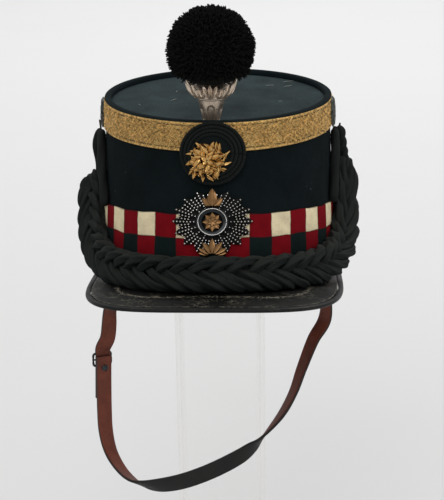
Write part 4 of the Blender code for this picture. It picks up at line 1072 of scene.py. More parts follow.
class SHAKO_OT_crown(bpy.types.Operator):
    """Make the felt wall, the flat top with its lint, and the welt round the rim"""

    bl_idname = "shako.crown"
    bl_label = "Crown"

    LINT = (
        # across, back, direction in degrees, length
        (-0.0296, 0.021, 80, 0.005), (-0.0300, -0.005, 60, 0.007), (0.035, 0.040, 10, 0.006),
        (0.048, 0.053, 30, 0.009), (0.048, 0.037, 40, 0.008), (0.0425, -0.011, 20, 0.003),
        (-0.052, -0.020, 120, 0.003), (0.010, 0.060, 150, 0.004), (-0.012, 0.048, 70, 0.003),
    )

    def execute(self, context):
        sizes, colours, wall = settings(context)
        felt = milled_wool("milled_wool_felt", colours.felt)
        # the top cloth is painted lighter than the felt wall for the light that falls on it from
        # above
        top_cloth = milled_wool("milled_wool_top", colours.top_cloth, 0.06)
        welt_cloth = milled_wool("folded_wool_welt", rgba(colours.felt, 1.5))
        lint = worsted_cord("pale_lint", linear("#8f928e"), 0.0)
        turn = ring_turns(288)
        under_welt = sizes.welt_height + GAP
        foot = wall.to_row(wall.footed(turn, 0.0))
        head = wall.level(turn, under_welt, 0.0)
        grid = [foot + (head - foot) * share for share in np.linspace(0.0, 1.0, 15)]
        grid.append(wall.level(turn, under_welt, -sizes.crown_wall))
        grid.append(wall.to_row(wall.footed(turn, -sizes.crown_wall)))
        grid.append(grid[0])
        dress(skin("crown_wall", grid), felt, "felt", "crown_shell")

        reach = -(sizes.crown_wall + GAP)
        rings = []
        for depth, shares in (
            (sizes.top_recess, np.linspace(0.0, 1.0, 13)),
            (sizes.top_recess + sizes.top_thickness, (1.0, 0.0)),
        ):
            edge = wall.level(turn, depth, reach)
            middle = np.array((0.0, (edge[:, 1].min() + edge[:, 1].max()) / 2, edge[0, 2]))
            rings.extend(middle + (edge - middle) * share for share in shares)
        dress(skin("crown_flat_top", rings), top_cloth, "top_cloth", "crown_top")

        across, back, heading, long = np.array(self.LINT).T
        heading = np.radians(heading)
        flat = 0 * across
        places = np.stack((across, back + middle[1], flat + wall.level(
            turn[:1], sizes.top_recess, reach)[0, 2] + 0.0002), -1)
        mesh = set_items(
            "lint_fibres", wire_mesh("lint_fibre"), places, np.stack((flat, flat, flat + 1), -1),
            np.stack((np.cos(heading), np.sin(heading), flat), -1),
            np.stack((long, flat + 0.0006, flat + 0.0004), -1), lint)
        dress(mesh, lint, "top_cloth")

        width, height = sizes.welt_width, sizes.welt_height
        section = (
            (0.0, 1.0), (0.0, 0.47), (0.3, 0.46), (0.4, 0.34), (0.38, 0.2), (0.22, 0.08),
            (-0.05, 0.01), (-0.4, 0.0), (-0.7, 0.03), (-0.86, 0.14), (-0.96, 0.35),
            (-1.0, 0.6), (-1.0, 1.0), (0.0, 1.0))
        grid = [wall.level(turn, height * down, width * out + 0 * turn) for out, down in section]
        dress(skin("folded_welt", grid), welt_cloth, "welt", "rim_welt")
        return {"FINISHED"}


class SHAKO_OT_lace(bpy.types.Operator):
    """Make the gold lace below the rim, its rope borders and its loose wires"""

    bl_idname = "shako.lace"
    bl_label = "Gold lace"

    ROPE_RADIUS = 0.0007
    WIRE_LENGTHS = (0.005, 0.011)
    WIRE_WIDTH = 0.0007

    def execute(self, context):
        sizes, colours, wall = settings(context)
        face = GAP + sizes.lace_thickness
        lace = gold_wire("woven_gold_wire", colours.gold, sizes.lace_width)
        wire = gold_wire("loose_gold_wire", colours.gold)
        turn = ring_turns(360)
        arc = wall.arc(turn)
        drop, width = sizes.lace_drop, sizes.lace_width
        profile = [(0.0, GAP), (0.0, face)]
        profile += [(share, face) for share in np.linspace(0.06, 0.94, 9)]
        profile += [(1.0, face), (1.0, GAP), (0.0, GAP)]
        grid, uv = [], []
        for share, out in profile:
            grid.append(wall.under_rim(turn, drop + width * share, out))
            uv.append(np.stack((arc, 0 * arc + width * share), -1))
        dress(skin("gold_lace", grid, uv), lace, "lace", "lace_band")

        ropes = []
        radius = self.ROPE_RADIUS
        for share in (radius / width, 1.0 - radius / width):
            path = wall.under_rim(ring_turns(480)[:-1], drop + width * share, face - radius * 0.5)
            ropes.append((path, radius))
        mesh = lay_cords(
            "lace_ropes", ropes, wire, sides=8, plies=2, groove=0.12, lay=0.0045, closed=True)
        dress(mesh, wire, "lace")

        pick = np.random.default_rng(21)
        count = sizes.lace_wires
        turns = wall.turn_at(pick.uniform(-0.5, 0.5, count) * wall.girth)
        down = drop + width * pick.uniform(0.13, 0.87, count)
        angle = pick.choice((-1.0, 1.0), count) * pick.uniform(0.25, 1.0, count)
        long = pick.uniform(*self.WIRE_LENGTHS, count)
        edge = np.minimum(down - drop, drop + width - down) / np.abs(np.sin(angle)) * 1.7
        spots = np.column_stack(
            (turns, wall.slant(turns) - down, face + pick.uniform(-0.0001, 0.0002, count),
            angle, np.minimum(long, edge), self.WIRE_WIDTH * pick.uniform(0.6, 1.3, count)))
        dress(wall_items(wall, "lace_wires", wire_mesh("lace_wire"), spots, wire), wire, "lace")
        return {"FINISHED"}


class SHAKO_OT_diced(bpy.types.Operator):
    """Make the diced band, with each check raised a little between its seams"""

    bl_idname = "shako.diced"
    bl_label = "Diced band"

    PILLOW = 0.0005

    def execute(self, context):
        sizes, colours, wall = settings(context)
        wool = diced_wool("sewn_facecloth_checks", colours, sizes.check_rows)
        around = sizes.checks_round
        column = np.linspace(-around / 2, around / 2, around * 10 + 1)
        turn = wall.turn_at(column * wall.girth / around)
        height = sizes.check_height * sizes.check_rows
        share = np.linspace(0.0, 1.0, sizes.check_rows * 10 + 1)
        sides = [(0.0, GAP)] + [(s, None) for s in share] + [(1.0, GAP), (0.0, GAP)]
        face = GAP + sizes.diced_thickness
        over = np.abs(np.sin(math.pi * (column + 0.5))) ** 0.45
        wave = 0.0003 * np.sin(column * 1.9) + 0.0002 * np.sin(column * 4.7 + 1.0)
        grid, uv = [], []
        for up, seat in sides:
            rise = sizes.diced_rise + height * up + wave * min(1.0, 4.0 * up)
            swell = abs(math.sin(math.pi * up * sizes.check_rows)) ** 0.45
            out = seat if seat else face - self.PILLOW * (1.0 - over * swell)
            grid.append(wall.at(turn, rise, out))
            uv.append(np.stack((column + 0.5, 0 * column + up * sizes.check_rows), -1))
        dress(skin("diced_checks", grid, uv), wool, "diced", "diced_band")
        return {"FINISHED"}


class SHAKO_OT_peak(bpy.types.Operator):
    """Make the leather peak and its bound edge"""

    bl_idname = "shako.peak"
    bl_label = "Peak"

    SQUARENESS = 4.3
    CROWN = 0.0012
    TUCK = 0.0020
    END_TURN = math.radians(78.0)
    CREASE_INSET = 0.0225
    CREASE_HALF_WIDTH = 0.0007
    CREASE_DEPTH = 0.0003

    def lines(self, sizes, wall, bearing):
        """The peak's inner and outer edge at bearings from its centre, in the hat frame."""
        forward_reach = sizes.peak_reach - sizes.peak_side
        across = np.abs(np.sin(bearing)) / sizes.peak_half_width
        ahead = np.abs(np.cos(bearing)) / forward_reach
        radius = (across ** self.SQUARENESS + ahead ** self.SQUARENESS) ** (-1 / self.SQUARENESS)
        forward = radius * np.cos(bearing)
        middle = -GAP - sizes.peak_thickness / 2
        edge = np.stack(
            (radius * np.sin(bearing),
            -sizes.peak_side - forward, middle - sizes.peak_drop * forward / forward_reach), -1)
        root = wall.footed(bearing / (math.pi / 2) * self.END_TURN, -self.TUCK) + (0, 0, middle)
        return root, edge

    def at_inset(self, sizes, wall, bearing, inset, height):
        """Points of the peak at an inset from its edge, height above its middle plane."""
        root, edge = self.lines(sizes, wall, bearing)
        reach = np.linalg.norm(edge - root, axis=-1)
        share = 1.0 - np.minimum(inset, reach) / reach
        width = reach / (sizes.peak_reach - sizes.base_half_length)
        lift = self.CROWN * np.sin(math.pi * share) * np.minimum(1.0, width) ** 2
        point = root + (edge - root) * share[:, None]
        point[:, 2] += lift + height
        return wall.to_row(point)

    def execute(self, context):
        sizes, colours, wall = settings(context)
        leather = crazed_leather("crazed_varnished_leather", rgba(colours.black_leather, 0.85),
            0.45, (self.CREASE_INSET, sizes.binding_depth + 0.0010))
        bound = crazed_leather("folded_binding_leather", rgba(colours.black_leather, 0.35), 0.1)
        bearing = np.linspace(-math.pi / 2, math.pi / 2, 241)
        root, edge = self.lines(sizes, wall, bearing)
        reach = np.linalg.norm(edge - root, axis=-1)
        half = sizes.peak_thickness / 2
        depth = sizes.binding_depth
        run = np.concatenate(((0.0,), np.cumsum(np.linalg.norm(np.diff(edge, axis=0), axis=1))))
        steps = np.concatenate((np.linspace(0.0, 0.6, 8)[:-1], np.linspace(0.6, 1.0, 16)))
        grid, uv = [], []
        for side, order in ((1.0, steps), (-1.0, steps[::-1])):
            for share in order:
                inset = reach - (reach - depth - GAP) * share
                groove = self.CREASE_DEPTH * np.exp(
                    -((inset - self.CREASE_INSET) / self.CREASE_HALF_WIDTH) ** 2)
                height = half - groove if side > 0 else -half
                grid.append(self.at_inset(sizes, wall, bearing, inset, height))
                uv.append(np.stack((run, inset), -1))
        grid.append(grid[0])
        uv.append(uv[0])
        dress(skin("leather_peak", grid, uv), leather, "peak", "peak")

        roll = sizes.binding_thickness / 2
        section = ((1.0, 0.62), (0.97, 0.82), (0.8, 0.97), (0.6, 1.0),
            (0.38, 0.93), (0.18, 0.76), (0.05, 0.45), (0.0, 0.0), (0.05, -0.45), (0.18, -0.76),
            (0.38, -0.93), (0.6, -1.0), (0.8, -0.97), (0.97, -0.82), (1.0, -0.62), (1.0, 0.62))
        grid = [
            self.at_inset(sizes, wall,
            bearing, depth * inset + 0 * bearing, roll * height) for inset, height in section]
        dress(skin("bound_edge", grid), bound, "binding", "peak_binding")
        return {"FINISHED"}


class SHAKO_OT_boss(bpy.types.Operator):
    """Make the corded boss and its tiers of gilt leaves"""

    bl_idname = "shako.boss"
    bl_label = "Boss"

    CORD_RADII = (0.0013, 0.0012, 0.0012, 0.0011)
    ORNAMENT = (-0.0028, -0.0052)
    LEAF_TIERS = (
        # leaves, ring radius, leaf length, leaf width, height, slant of a leaf to its ray
        (20, 0.0086, 0.0062, 0.0027, 0.0000, 1.15),
        (17, 0.0064, 0.0064, 0.0030, 0.0012, -1.2),
        (13, 0.0042, 0.0064, 0.0032, 0.0024, 1.2),
        (8, 0.0022, 0.0058, 0.0032, 0.0034, -1.0),
        (5, 0.0003, 0.0040, 0.0028, 0.0040, 0.7),
    )

    def execute(self, context):
        sizes, colours, wall = settings(context)
        cord = worsted_cord("black_twisted_silk", rgba(colours.cord_wool, 0.8), 0.06)
        gilt = worn_metal("stamped_gilt_brass", rgba(colours.gilt, 1.45), 0.2, 0.9)
        centre = (0.0, sizes.boss_rise)
        back = GAP + sizes.lace_thickness + GAP
        radius, height = sizes.boss_radius, sizes.boss_height
        angle = circle(96)

        def round_edge(angles):
            return radius * np.cos(angles), radius * np.sin(angles)

        inner = radius - 2.0 * sum(self.CORD_RADII)
        share = inner / radius
        profile = (
            (0.0, back), (0.98, back), (0.98, back + height * 0.3), (share, back + height * 0.8),
            (share * 0.9, back + height * 0.9), (0.0, back + height * 0.95))
        mesh = medallion(wall, "boss_field", centre, round_edge, profile, angle)
        dress(mesh, cut_wool("black_silk_field", colours.cord_wool), "boss", "boss")
        paths = []
        reach = radius
        for index, thick in enumerate(self.CORD_RADII):
            reach -= thick
            out = back + height * (0.32 + 0.16 * index)
            path = wall.front_ring(angle[:-1], reach, sizes.boss_rise, out)
            paths.append((path, thick * 1.06))
            reach -= thick
        mesh = lay_cords(
            "boss_cords", paths, cord, sides=10, plies=3, groove=0.12, lay=0.006, closed=True)
        dress(mesh, cord, "boss")

        leaf = leaf_mesh("gilt_leaf", 1.0, 1.0, 0.4, 0.55, 3)
        middle = (self.ORNAMENT[0], sizes.boss_rise + self.ORNAMENT[1])
        seat = back + height + GAP
        spots = []
        pick = np.random.default_rng(11)
        for count, ring, long, wide, high, slant in self.LEAF_TIERS:
            for index in range(count):
                turn = (index + pick.uniform(-0.25, 0.25)) * FULL_TURN / count
                size = long * pick.uniform(0.8, 1.15)
                spots.append(
                    (ring * math.cos(turn), ring * math.sin(turn) * 0.95, seat + high - 0.0010,
                    turn + slant * pick.uniform(0.3, 1.3), size, wide * pick.uniform(0.7, 1.2)))
        mesh = front_items(wall, "gilt_leaves", leaf, middle, spots, gilt)
        dress(mesh, gilt, "gilt", "boss_ornament")
        return {"FINISHED"}


class SHAKO_OT_plate(bpy.types.Operator):
    """Make the rayed plate, its cut beads, ring, rosette, bud and spray"""

    bl_idname = "shako.plate"
    bl_label = "Rayed plate"

    RAYS = 16
    RING_WIDTH = 0.0032
    RING_HEIGHT = 0.0024
    LINE_RADIUS = 0.00026
    RELIEF = 0.0018
    BEAD_STEP = 0.085

    def execute(self, context):
        sizes, colours, wall = settings(context)
        silver = worn_metal("cut_silver", colours.silver, 0.2, 0.35)
        ground = worn_metal("oxidised_silver", linear("#1d1c1c"), 0.45, 0.6)
        enamel = worn_metal("dark_fired_enamel", linear("#1c2023"), 0.14, 0.3, 0.5)
        gilt = worn_metal("plate_gilt", linear("#8f6c48"), 0.32, 0.95)
        centre = (0.0, sizes.plate_rise)
        back = GAP + sizes.diced_thickness + GAP
        face = back + self.RELIEF
        half_width, half_height = sizes.plate_half_width, sizes.plate_half_height
        angle = circle(self.RAYS * 8)
        tooth = np.abs((angle * self.RAYS / FULL_TURN) % 1.0 - 0.5) * 2.0

        def rays(angles):
            reach = 0.80 + 0.20 * tooth
            return half_width * reach * np.cos(angles), half_height * reach * np.sin(angles)

        profile = np.array((
            (0.0, back), (1.0, back), (1.0, back + 0.0005), (0.9, back + 0.0009),
            (0.6, face - 0.0003), (0.42, face), (0.0, face)))
        rows = np.repeat(profile[:, 1:], len(angle), 1)
        ridge = (tooth[None, :] - 0.5) * 0.0006
        rows += ridge * ((profile[:, :1] > 0.41) & (profile[:, 1:] > back))
        mesh = medallion(wall, "rayed_plate", centre, rays, profile, angle, rows)
        dress(mesh, ground, "silver", "plate_star")

        spots = []
        for index in range(self.RAYS * 3):
            turn = index * FULL_TURN / (self.RAYS * 3)
            whole = index % 3 == 0
            far = 0.97 if whole else 0.84
            for share in np.arange(0.44 if whole else 0.58, far, self.BEAD_STEP):
                size = 0.00150 + 0.0006 * share
                spots.append(
                    (half_width * share * math.cos(turn), half_height * share * math.sin(turn),
                    back + 0.0006 + (1.0 - share) * self.RELIEF, turn, size * 1.1, size * 0.9))
        mesh = front_items(wall, "cut_beads", bead_mesh("cut_bead"), centre, spots, silver)
        dress(mesh, silver, "silver")

        seat = face + 0.0004
        radius, width, height = sizes.ring_radius, self.RING_WIDTH, self.RING_HEIGHT
        section = (
            (radius - width, seat - 0.0006), (radius, seat - 0.0006),
            (radius, seat + height * 0.5), (radius - width * 0.2, seat + height * 0.8),
            (radius - width * 0.6, seat + height * 0.8),
            (radius - width, seat + height * 0.5), (radius - width, seat - 0.0006))
        angle = circle(96)
        rise = sizes.plate_rise
        grid = [wall.front_ring(angle, reach, rise, out) for reach, out in section]
        dress(skin("enamel_ring", grid), enamel, "ring", "plate_ring")
        line = wall.front_ring(angle[:-1], radius - width * 0.35, rise, seat + height * 0.74)
        mesh = lay_cords("ring_lines", [(line, self.LINE_RADIUS)],
            silver, sides=8, plies=1, groove=0.0, lay=0.01, closed=True)
        dress(mesh, silver, "silver")

        leaf = leaf_mesh("plate_leaf", 1.0, 1.0, 0.2, 0.12)
        petals = [
            (0.0009 * math.cos(a), 0.0009 * math.sin(a), seat, a, 0.0052, 0.0036)
            for a in np.arange(8) * FULL_TURN / 8]
        petals += [
            (0.0, 0.0, seat + 0.0007, a + 0.4, 0.0030, 0.0024)
            for a in np.arange(6) * FULL_TURN / 6]
        mesh = front_items(wall, "gilt_rosette", leaf, centre, petals, gilt)
        dress(mesh, gilt, "gilt", "plate_rosette")

        bud_foot = radius + 0.0008
        bud = [(0.0, bud_foot - 0.0004, seat + 0.0012, math.pi / 2, 0.0112, 0.0060),
            (-0.0008, bud_foot, seat + 0.0004, math.pi * 0.78, 0.0072, 0.0044),
            (0.0008, bud_foot, seat + 0.0004, math.pi * 0.22, 0.0072, 0.0044)]
        dress(front_items(wall, "gilt_bud", leaf, centre, bud, gilt), gilt, "gilt", "plate_finial")

        spray_foot = -(radius + 0.0102)
        spray = []
        for index, turn in enumerate((0.5, 0.30, 0.70, 0.13, 0.87, 0.02, 0.98)):
            spray.append(
                ((0.5 - turn) * 0.004, spray_foot - 0.0004,
                seat + 0.0012 - 0.0002 * index, math.pi * turn, 0.0096 - 0.0005 * index, 0.0038))
        mesh = front_items(wall, "gilt_spray", leaf, centre, spray, gilt)
        dress(mesh, gilt, "gilt", "plate_spray")
        return {"FINISHED"}


class SHAKO_OT_tuft(bpy.types.Operator):
    """Make the panelled stem, the leaf cup and the ball of cut wool"""

    bl_idname = "shako.tuft"
    bl_label = "Ball tuft"

    PANELS = 6
    STEM_RADII = (0.0052, 0.0092)
    WINDOW_HALF = 0.36
    WINDOW_DEPTH = 0.0012
    PALMETTES = 6
    PALMETTE_KINDS = (
        # ribs on each side of the middle one, lean outwards, turn from rib to rib, length
        (2, 0.55, 0.36, 0.0128),
        (1, 0.46, 0.34, 0.0086),
    )
    THREAD_LENGTH = 0.0040
    THREAD_RADIUS = 0.0005
    BARE_FOOT = 0.0056

    def execute(self, context):
        sizes, colours = settings(context)[:2]
        bright = worn_metal("worn_silver_gilt", colours.stem_silver, 0.32, 0.6, 0.85)
        dusky = worn_metal(
            "tarnished_silver_gilt", rgba(colours.stem_silver, 1.35), 0.28, 0.8, 0.85)
        low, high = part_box("socket_stem")
        x, y = (low.x + high.x) / 2, (low.y + high.y) / 2
        angle = circle(self.PANELS * 16)
        local = (angle * self.PANELS / FULL_TURN) % 1.0 - 0.5
        low_radius, high_radius = self.STEM_RADII
        rings = [np.stack((x + 0 * angle, y + 0 * angle, low.z + 0 * angle), -1)]
        for up in np.linspace(0.0, 1.0, 41):
            radius = low_radius + (high_radius - low_radius) * up ** 1.2
            arch = 0.76 - 0.22 * (np.abs(local) / self.WINDOW_HALF) ** 2.2
            inside = np.clip((self.WINDOW_HALF - np.abs(local)) / 0.05, 0.0, 1.0)
            inside = inside * np.clip(
                (arch - up) / 0.035, 0.0, 1.0) * np.clip((up - 0.10) / 0.03, 0.0, 1.0)
            rib = np.clip(1.0 - np.abs(np.abs(local) - 0.5) / 0.05, 0.0, 1.0)
            lip = 0.0004 * math.exp(-((up - 0.985) / 0.02) ** 2)
            reach = radius + lip - self.WINDOW_DEPTH * inside - 0.0004 * rib * (0.1 < up < 0.6)
            rings.append(
                np.stack((x + reach * np.cos(angle),
                y + reach * np.sin(angle), low.z + (high.z - low.z) * up + 0 * angle), -1))
        rings.append(np.stack((x + 0 * angle, y + 0 * angle, high.z + 0 * angle), -1))
        dress(skin("panelled_stem", rings, angle=35.0), bright, "stem", "socket_stem")

        low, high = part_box("leaf_cup")
        foot = low.z
        profile = ((0.0, foot), (0.0094, foot), (0.0096, foot + 0.0008),
            (0.0112, foot + 0.0050), (0.0120, foot + 0.0066), (0.0112, foot + 0.0066),
            (0.0100, foot + 0.0048), (0.0080, foot + 0.0020), (0.0, foot + 0.0012))
        dress(turned("leaf_cup_body", profile, (x, y)), dusky, "cup", "leaf_cup")
        leaf = leaf_mesh("cup_leaf", 1.0, 1.0, 0.42, 0.14, 4)
        places, facings, headings, scales = [], [], [], []
        for index in range(self.PALMETTES * 2):
            ribs, lean, fan, long = self.PALMETTE_KINDS[index % 2]
            turn = -math.pi / 2 + index * math.pi / self.PALMETTES
            away = np.array((math.cos(turn), math.sin(turn), 0.0))
            aside = np.array((-math.sin(turn), math.cos(turn), 0.0))
            rising = away * math.sin(lean) + (0.0, 0.0, math.cos(lean))
            facing = away * math.cos(lean) - (0.0, 0.0, math.sin(lean))
            for rib in range(-ribs, ribs + 1):
                out = 0.0098 + 0.0005 * (2 - abs(rib))
                places.append((x, y, foot + 0.0002) + away * out + aside * rib * 0.0003)
                headings.append(rising * math.cos(rib * fan) + aside * math.sin(rib * fan))
                facings.append(unit(facing + aside * rib * 0.22))
                scales.append((long * (1.0 - 0.06 * rib * rib), 0.0034, 0.0050))
        mesh = set_items("cup_leaves",
            leaf, places, np.array(facings), np.array(headings), np.array(scales), dusky)
        dress(mesh, dusky, "cup")

        low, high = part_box("ball_tuft")
        radius = sizes.ball_radius
        middle = np.array((x, y, high.z - radius + 0.0002))
        core = radius - self.THREAD_LENGTH
        tall = np.linspace(-math.pi / 2, math.pi / 2, 33)
        around = circle(64)
        grid = []
        for up in tall:
            lump = 1.0 + 0.018 * np.sin(5 * around + 7 * up) * math.cos(up)
            z = max(core * math.sin(up), low.z + 0.0012 - middle[2])
            grid.append(
                np.stack((core * lump * math.cos(up) * np.cos(around),
                core * lump * math.cos(up) * np.sin(around), z + 0 * around), -1) + middle)
        wool = cut_wool("cut_worsted", colours.tuft_wool)
        thread = new_object(
            "cut_thread", thread_mesh("cut_thread", self.THREAD_LENGTH, self.THREAD_RADIUS))
        inputs = {"Thread": thread, "Density": float(sizes.ball_threads),
            "Lowest": low.z + self.BARE_FOOT, "Tilt": 0.5, "Seed": 7, "Material": wool}
        mesh = grow("ball_of_wool", skin("ball_core", grid), bpy.data.node_groups["cut_tuft"], inputs)
        bpy.data.objects.remove(thread)
        dress(mesh, wool, "tuft", "ball_tuft")
        return {"FINISHED"}


class SHAKO_OT_plait(bpy.types.Operator):
    """Lay the cords of the plait round the front"""

    bl_idname = "shako.plait"
    bl_label = "Plait"

    LEFT_END = 0.063
    RIGHT_END = 0.076
    OUT = 0.0088
    SIDE_TWIST = math.radians(46.0)
    SWING_UP = 0.0076
    SWING_DOWN = 0.0092
    LIFT = 0.0029
    ARM_SLACK = 0.38
    STEP = 0.001
    LEFT_SHARE = 0.92
    # where the arms turn, then slacken: degrees from the front, over how many, how much
    NARROW = (52.0, 30.0, 0.19)
    SLACK = (66, 26, 0.16)
    # where the right arm's lay draws out: radians from the front, over how many, how much
    DRAWN = (1.2, 0.3, 0.45)
    END_TAPER = 0.014

    def centres(self, wall):
        """Place, turn and rise of the plait's centre, a step apart, left to right."""
        left = [
            (-self.LEFT_SHARE * turn, rise)
            for turn, rise in PLAIT_ROUTE[1:] if rise < self.LEFT_END]
        left.append((-self.LEFT_SHARE * PLAIT_ROUTE[-1][0], self.LEFT_END))
        right = [(turn, rise) for turn, rise in PLAIT_ROUTE if rise < self.RIGHT_END]
        right.append((PLAIT_ROUTE[-1][0], self.RIGHT_END))
        turn, rise = np.array(left[::-1] + right).T
        turn = np.radians(turn)
        points = wall.at(turn, rise, self.OUT)
        return through(np.column_stack((points, turn, rise)), self.STEP)

    def execute(self, context):
        sizes, colours, wall = settings(context)
        wool = worsted_cord("laid_worsted_plait", colours.cord_wool, 0.15)
        rows = self.centres(wall)
        along = unit(np.gradient(rows[:, :3], axis=0))
        out = wall.normal(rows[:, 3], rows[:, 4])
        out = unit(out - along * np.sum(out * along, axis=1, keepdims=True))
        across = np.cross(out, along)
        turn = np.degrees(np.abs(rows[:, 3]))
        start, span, narrowed = self.NARROW
        side = np.clip((turn - start) / span, 0.0, 1.0)
        twist = (self.SIDE_TWIST * smooth(side))[:, None]
        sin, cos = np.sin(twist), np.cos(twist)
        out, across = out * cos + across * sin, across * cos - out * sin
        run = np.arange(len(rows)) * self.STEP
        period = sizes.plait_strands * sizes.plait_spacing
        end = np.clip(np.minimum(run, run[-1] - run) / self.END_TAPER, 0.0, 1.0)
        size = (0.5 + 0.5 * smooth(end)) * (1.0 - narrowed * side)
        start, span, drawn = self.DRAWN
        laid = np.cumsum(1.0 - drawn * np.clip((rows[:, 3] - start) / span, 0.0, 1.0)) * self.STEP
        start, span, slack = self.SLACK
        loose = 1 + slack * np.exp(-((turn - start) / span) ** 2)
        pick = np.random.default_rng(5)
        paths = []
        for strand in range(sizes.plait_strands):
            phase = FULL_TURN * (strand / sizes.plait_strands - laid / period)
            phase = phase + 0.10 * np.sin(run * pick.uniform(40, 90) + pick.uniform(0, 6))
            phase = phase - self.ARM_SLACK * np.cos(phase)
            swing = np.cos(phase)
            u = np.where(swing > 0, self.SWING_UP, self.SWING_DOWN) * swing * loose
            w = self.LIFT * np.tanh(2.0 * np.sin(2 * phase))
            path = rows[:, :3] + across * (u * size)[:, None] + out * (w * size)[:, None]
            paths.append(rounded_ends(path, sizes.plait_cord))
        mesh = lay_cords("plait_cords", paths, wool, sides=20, plies=4, groove=0.15, lay=0.085)
        dress(mesh, wool, "plait", "plait")
        return {"FINISHED"}


class SHAKO_OT_side_fittings(bpy.types.Operator):
    """Make the cord loops, the wire hooks and the side rosettes"""

    bl_idname = "shako.side_fittings"
    bl_label = "Loops, hooks and rosettes"

    TURN = math.radians(92.0)
    CORD_RADIUS = 0.0030
    CORDS_FORWARD = (0.015, 0.038)
    # how far the cords reach behind the plait's ends, and how much deeper on the right
    CORDS_BEHIND = 0.022
    RIGHT_DEEPER = 0.006
    KNOT_LAY = 0.018
    # cords that leave the hook, the radius they wind at and their own, then their middle:
    # metres above the plait's end and out from the wall
    ENDS = {
        "left": (1, 0.0, 0.0024, (
            (0.0330, 0.0040), (0.0310, 0.0056), (0.0260, 0.0074), (0.0200, 0.0078),
            (0.0130, 0.0066), (0.0060, 0.0056), (-0.0060, 0.0060))),
        "right": (3, 0.0022, 0.0022, (
            (0.0210, 0.0050), (0.0180, 0.0062), (0.0100, 0.0070), (0.0020, 0.0082),
            (-0.0080, 0.0096))),
    }
    HOOK_RADIUS = 0.0007
    HOOK_LENGTH = 0.0092
    HOOK_OUT = 0.0050
    HOOK_DROP = 0.0095
    HOOK_BEND = ((0.0, 0.55), (0.06, 0.88), (0.21, 1.02), (0.57, 1.10), (1.0, 1.26))
    ROSETTE_RADIUS = 0.0104
    ROSETTE_TURN = math.radians(84.0)
    ROSETTE_LOWER = 0.0024
    ROSETTE_HEIGHT = 0.0028

    def execute(self, context):
        sizes, colours, wall = settings(context)
        wool = worsted_cord("laid_worsted_loop", rgba(colours.cord_wool, 0.75), 0.08)
        wire = worn_metal("blackened_wire", linear("#4a4743"), 0.4, 0.5, 0.8)
        bronze = worn_metal("dull_bronze", colours.bronze, 0.5, 0.6, 0.7)
        face = GAP + sizes.lace_thickness
        for side, sign, plait_end in (
            ("left", -1.0, SHAKO_OT_plait.LEFT_END), ("right", 1.0, SHAKO_OT_plait.RIGHT_END),
        ):
            turn = sign * self.TURN

            def beside(aside, rise, out):
                return wall.at(turn + aside / sizes.base_half_length, rise, out)

            under_lace = float(wall.slant(turn)) - sizes.lace_drop - sizes.lace_width
            hook_rise = under_lace - self.HOOK_DROP
            bottom = plait_end - self.CORDS_BEHIND - sign * self.RIGHT_DEEPER
            rise = np.linspace(hook_rise + 1.5 * self.CORD_RADIUS, bottom, 40)
            paths = []
            for forward in self.CORDS_FORWARD:
                aside = (0.2 - sign) * forward * np.linspace(0.4, 1.0, 40)
                straight = beside(aside, rise, GAP + self.CORD_RADIUS)
                paths.append(rounded_ends(straight, self.CORD_RADIUS))
            count, wind, thick, route = self.ENDS[side]
            rows = through(np.array(route), 0.0008)
            run = FULL_TURN * (np.arange(len(rows)) * 0.0008 / self.KNOT_LAY)
            for cord in range(count):
                angle = run + cord * FULL_TURN / count
                path = beside(wind
                    * np.cos(angle), plait_end + rows[:, 0], rows[:, 1] + wind * np.sin(angle))
                paths.append(rounded_ends(path, thick))
            mesh = lay_cords(
                f"worsted_loop_{side}", paths, wool, sides=14, plies=3, groove=0.09, lay=0.085)
            dress(mesh, wool, "plait", f"cord_loop_{side}")

            crook = self.HOOK_OUT + sign * 0.0006
            bend = np.array(self.HOOK_BEND)
            rises = np.concatenate(
                ((hook_rise,), hook_rise + (self.HOOK_LENGTH - sign * 0.0014) * bend[:, 0]))
            outs = np.concatenate(((GAP,), crook * bend[:, 1]))
            path = through(beside(0.0, rises, outs), 0.0008)
            mesh = lay_cords(f"wire_hook_{side}", [rounded_ends(path, self.HOOK_RADIUS)],
                wire, sides=8, plies=1, groove=0.0, lay=0.01)
            dress(mesh, wire, "hook", f"hook_{side}")

            turn = sign * self.ROSETTE_TURN
            rise = under_lace + sizes.lace_width / 2 - self.ROSETTE_LOWER
            seat = face + GAP
            around = circle(64)
            radius, height = self.ROSETTE_RADIUS, self.ROSETTE_HEIGHT
            profile = ((0.0, 0.0), (1.0, 0.0), (1.0, 0.3), (0.92, 0.5), (0.8, 0.36), (0.0, 0.4))
            lobes = radius * (0.95 + 0.05 * np.cos(8 * around))
            grid = [beside(lobes * share * np.cos(around), rise + lobes * share * np.sin(
                around), seat + height * up) for share, up in profile]
            mesh = skin(f"rosette_disc_{side}", grid)
            dress(mesh, bronze, "side_rosette", f"side_rosette_{side}")
            leaf = leaf_mesh(f"rosette_petal_{side}", 1.0, 1.0, 0.2, 0.08)
            spots = []
            for count, foot, long, wide, high in (
                (8, 0.0022, 0.0070, 0.0052, 0.45), (6, 0.0004, 0.0050, 0.0040, 0.62),
            ):
                for petal in np.arange(count) * FULL_TURN / count:
                    spots.append(
                        (turn + foot * math.cos(petal) / sizes.base_half_length,
                        rise + foot * math.sin(petal), seat + height * high, petal, long, wide))
            mesh = wall_items(wall, f"rosette_petals_{side}", leaf, spots, bronze)
            dress(mesh, bronze, "side_rosette")
        return {"FINISHED"}


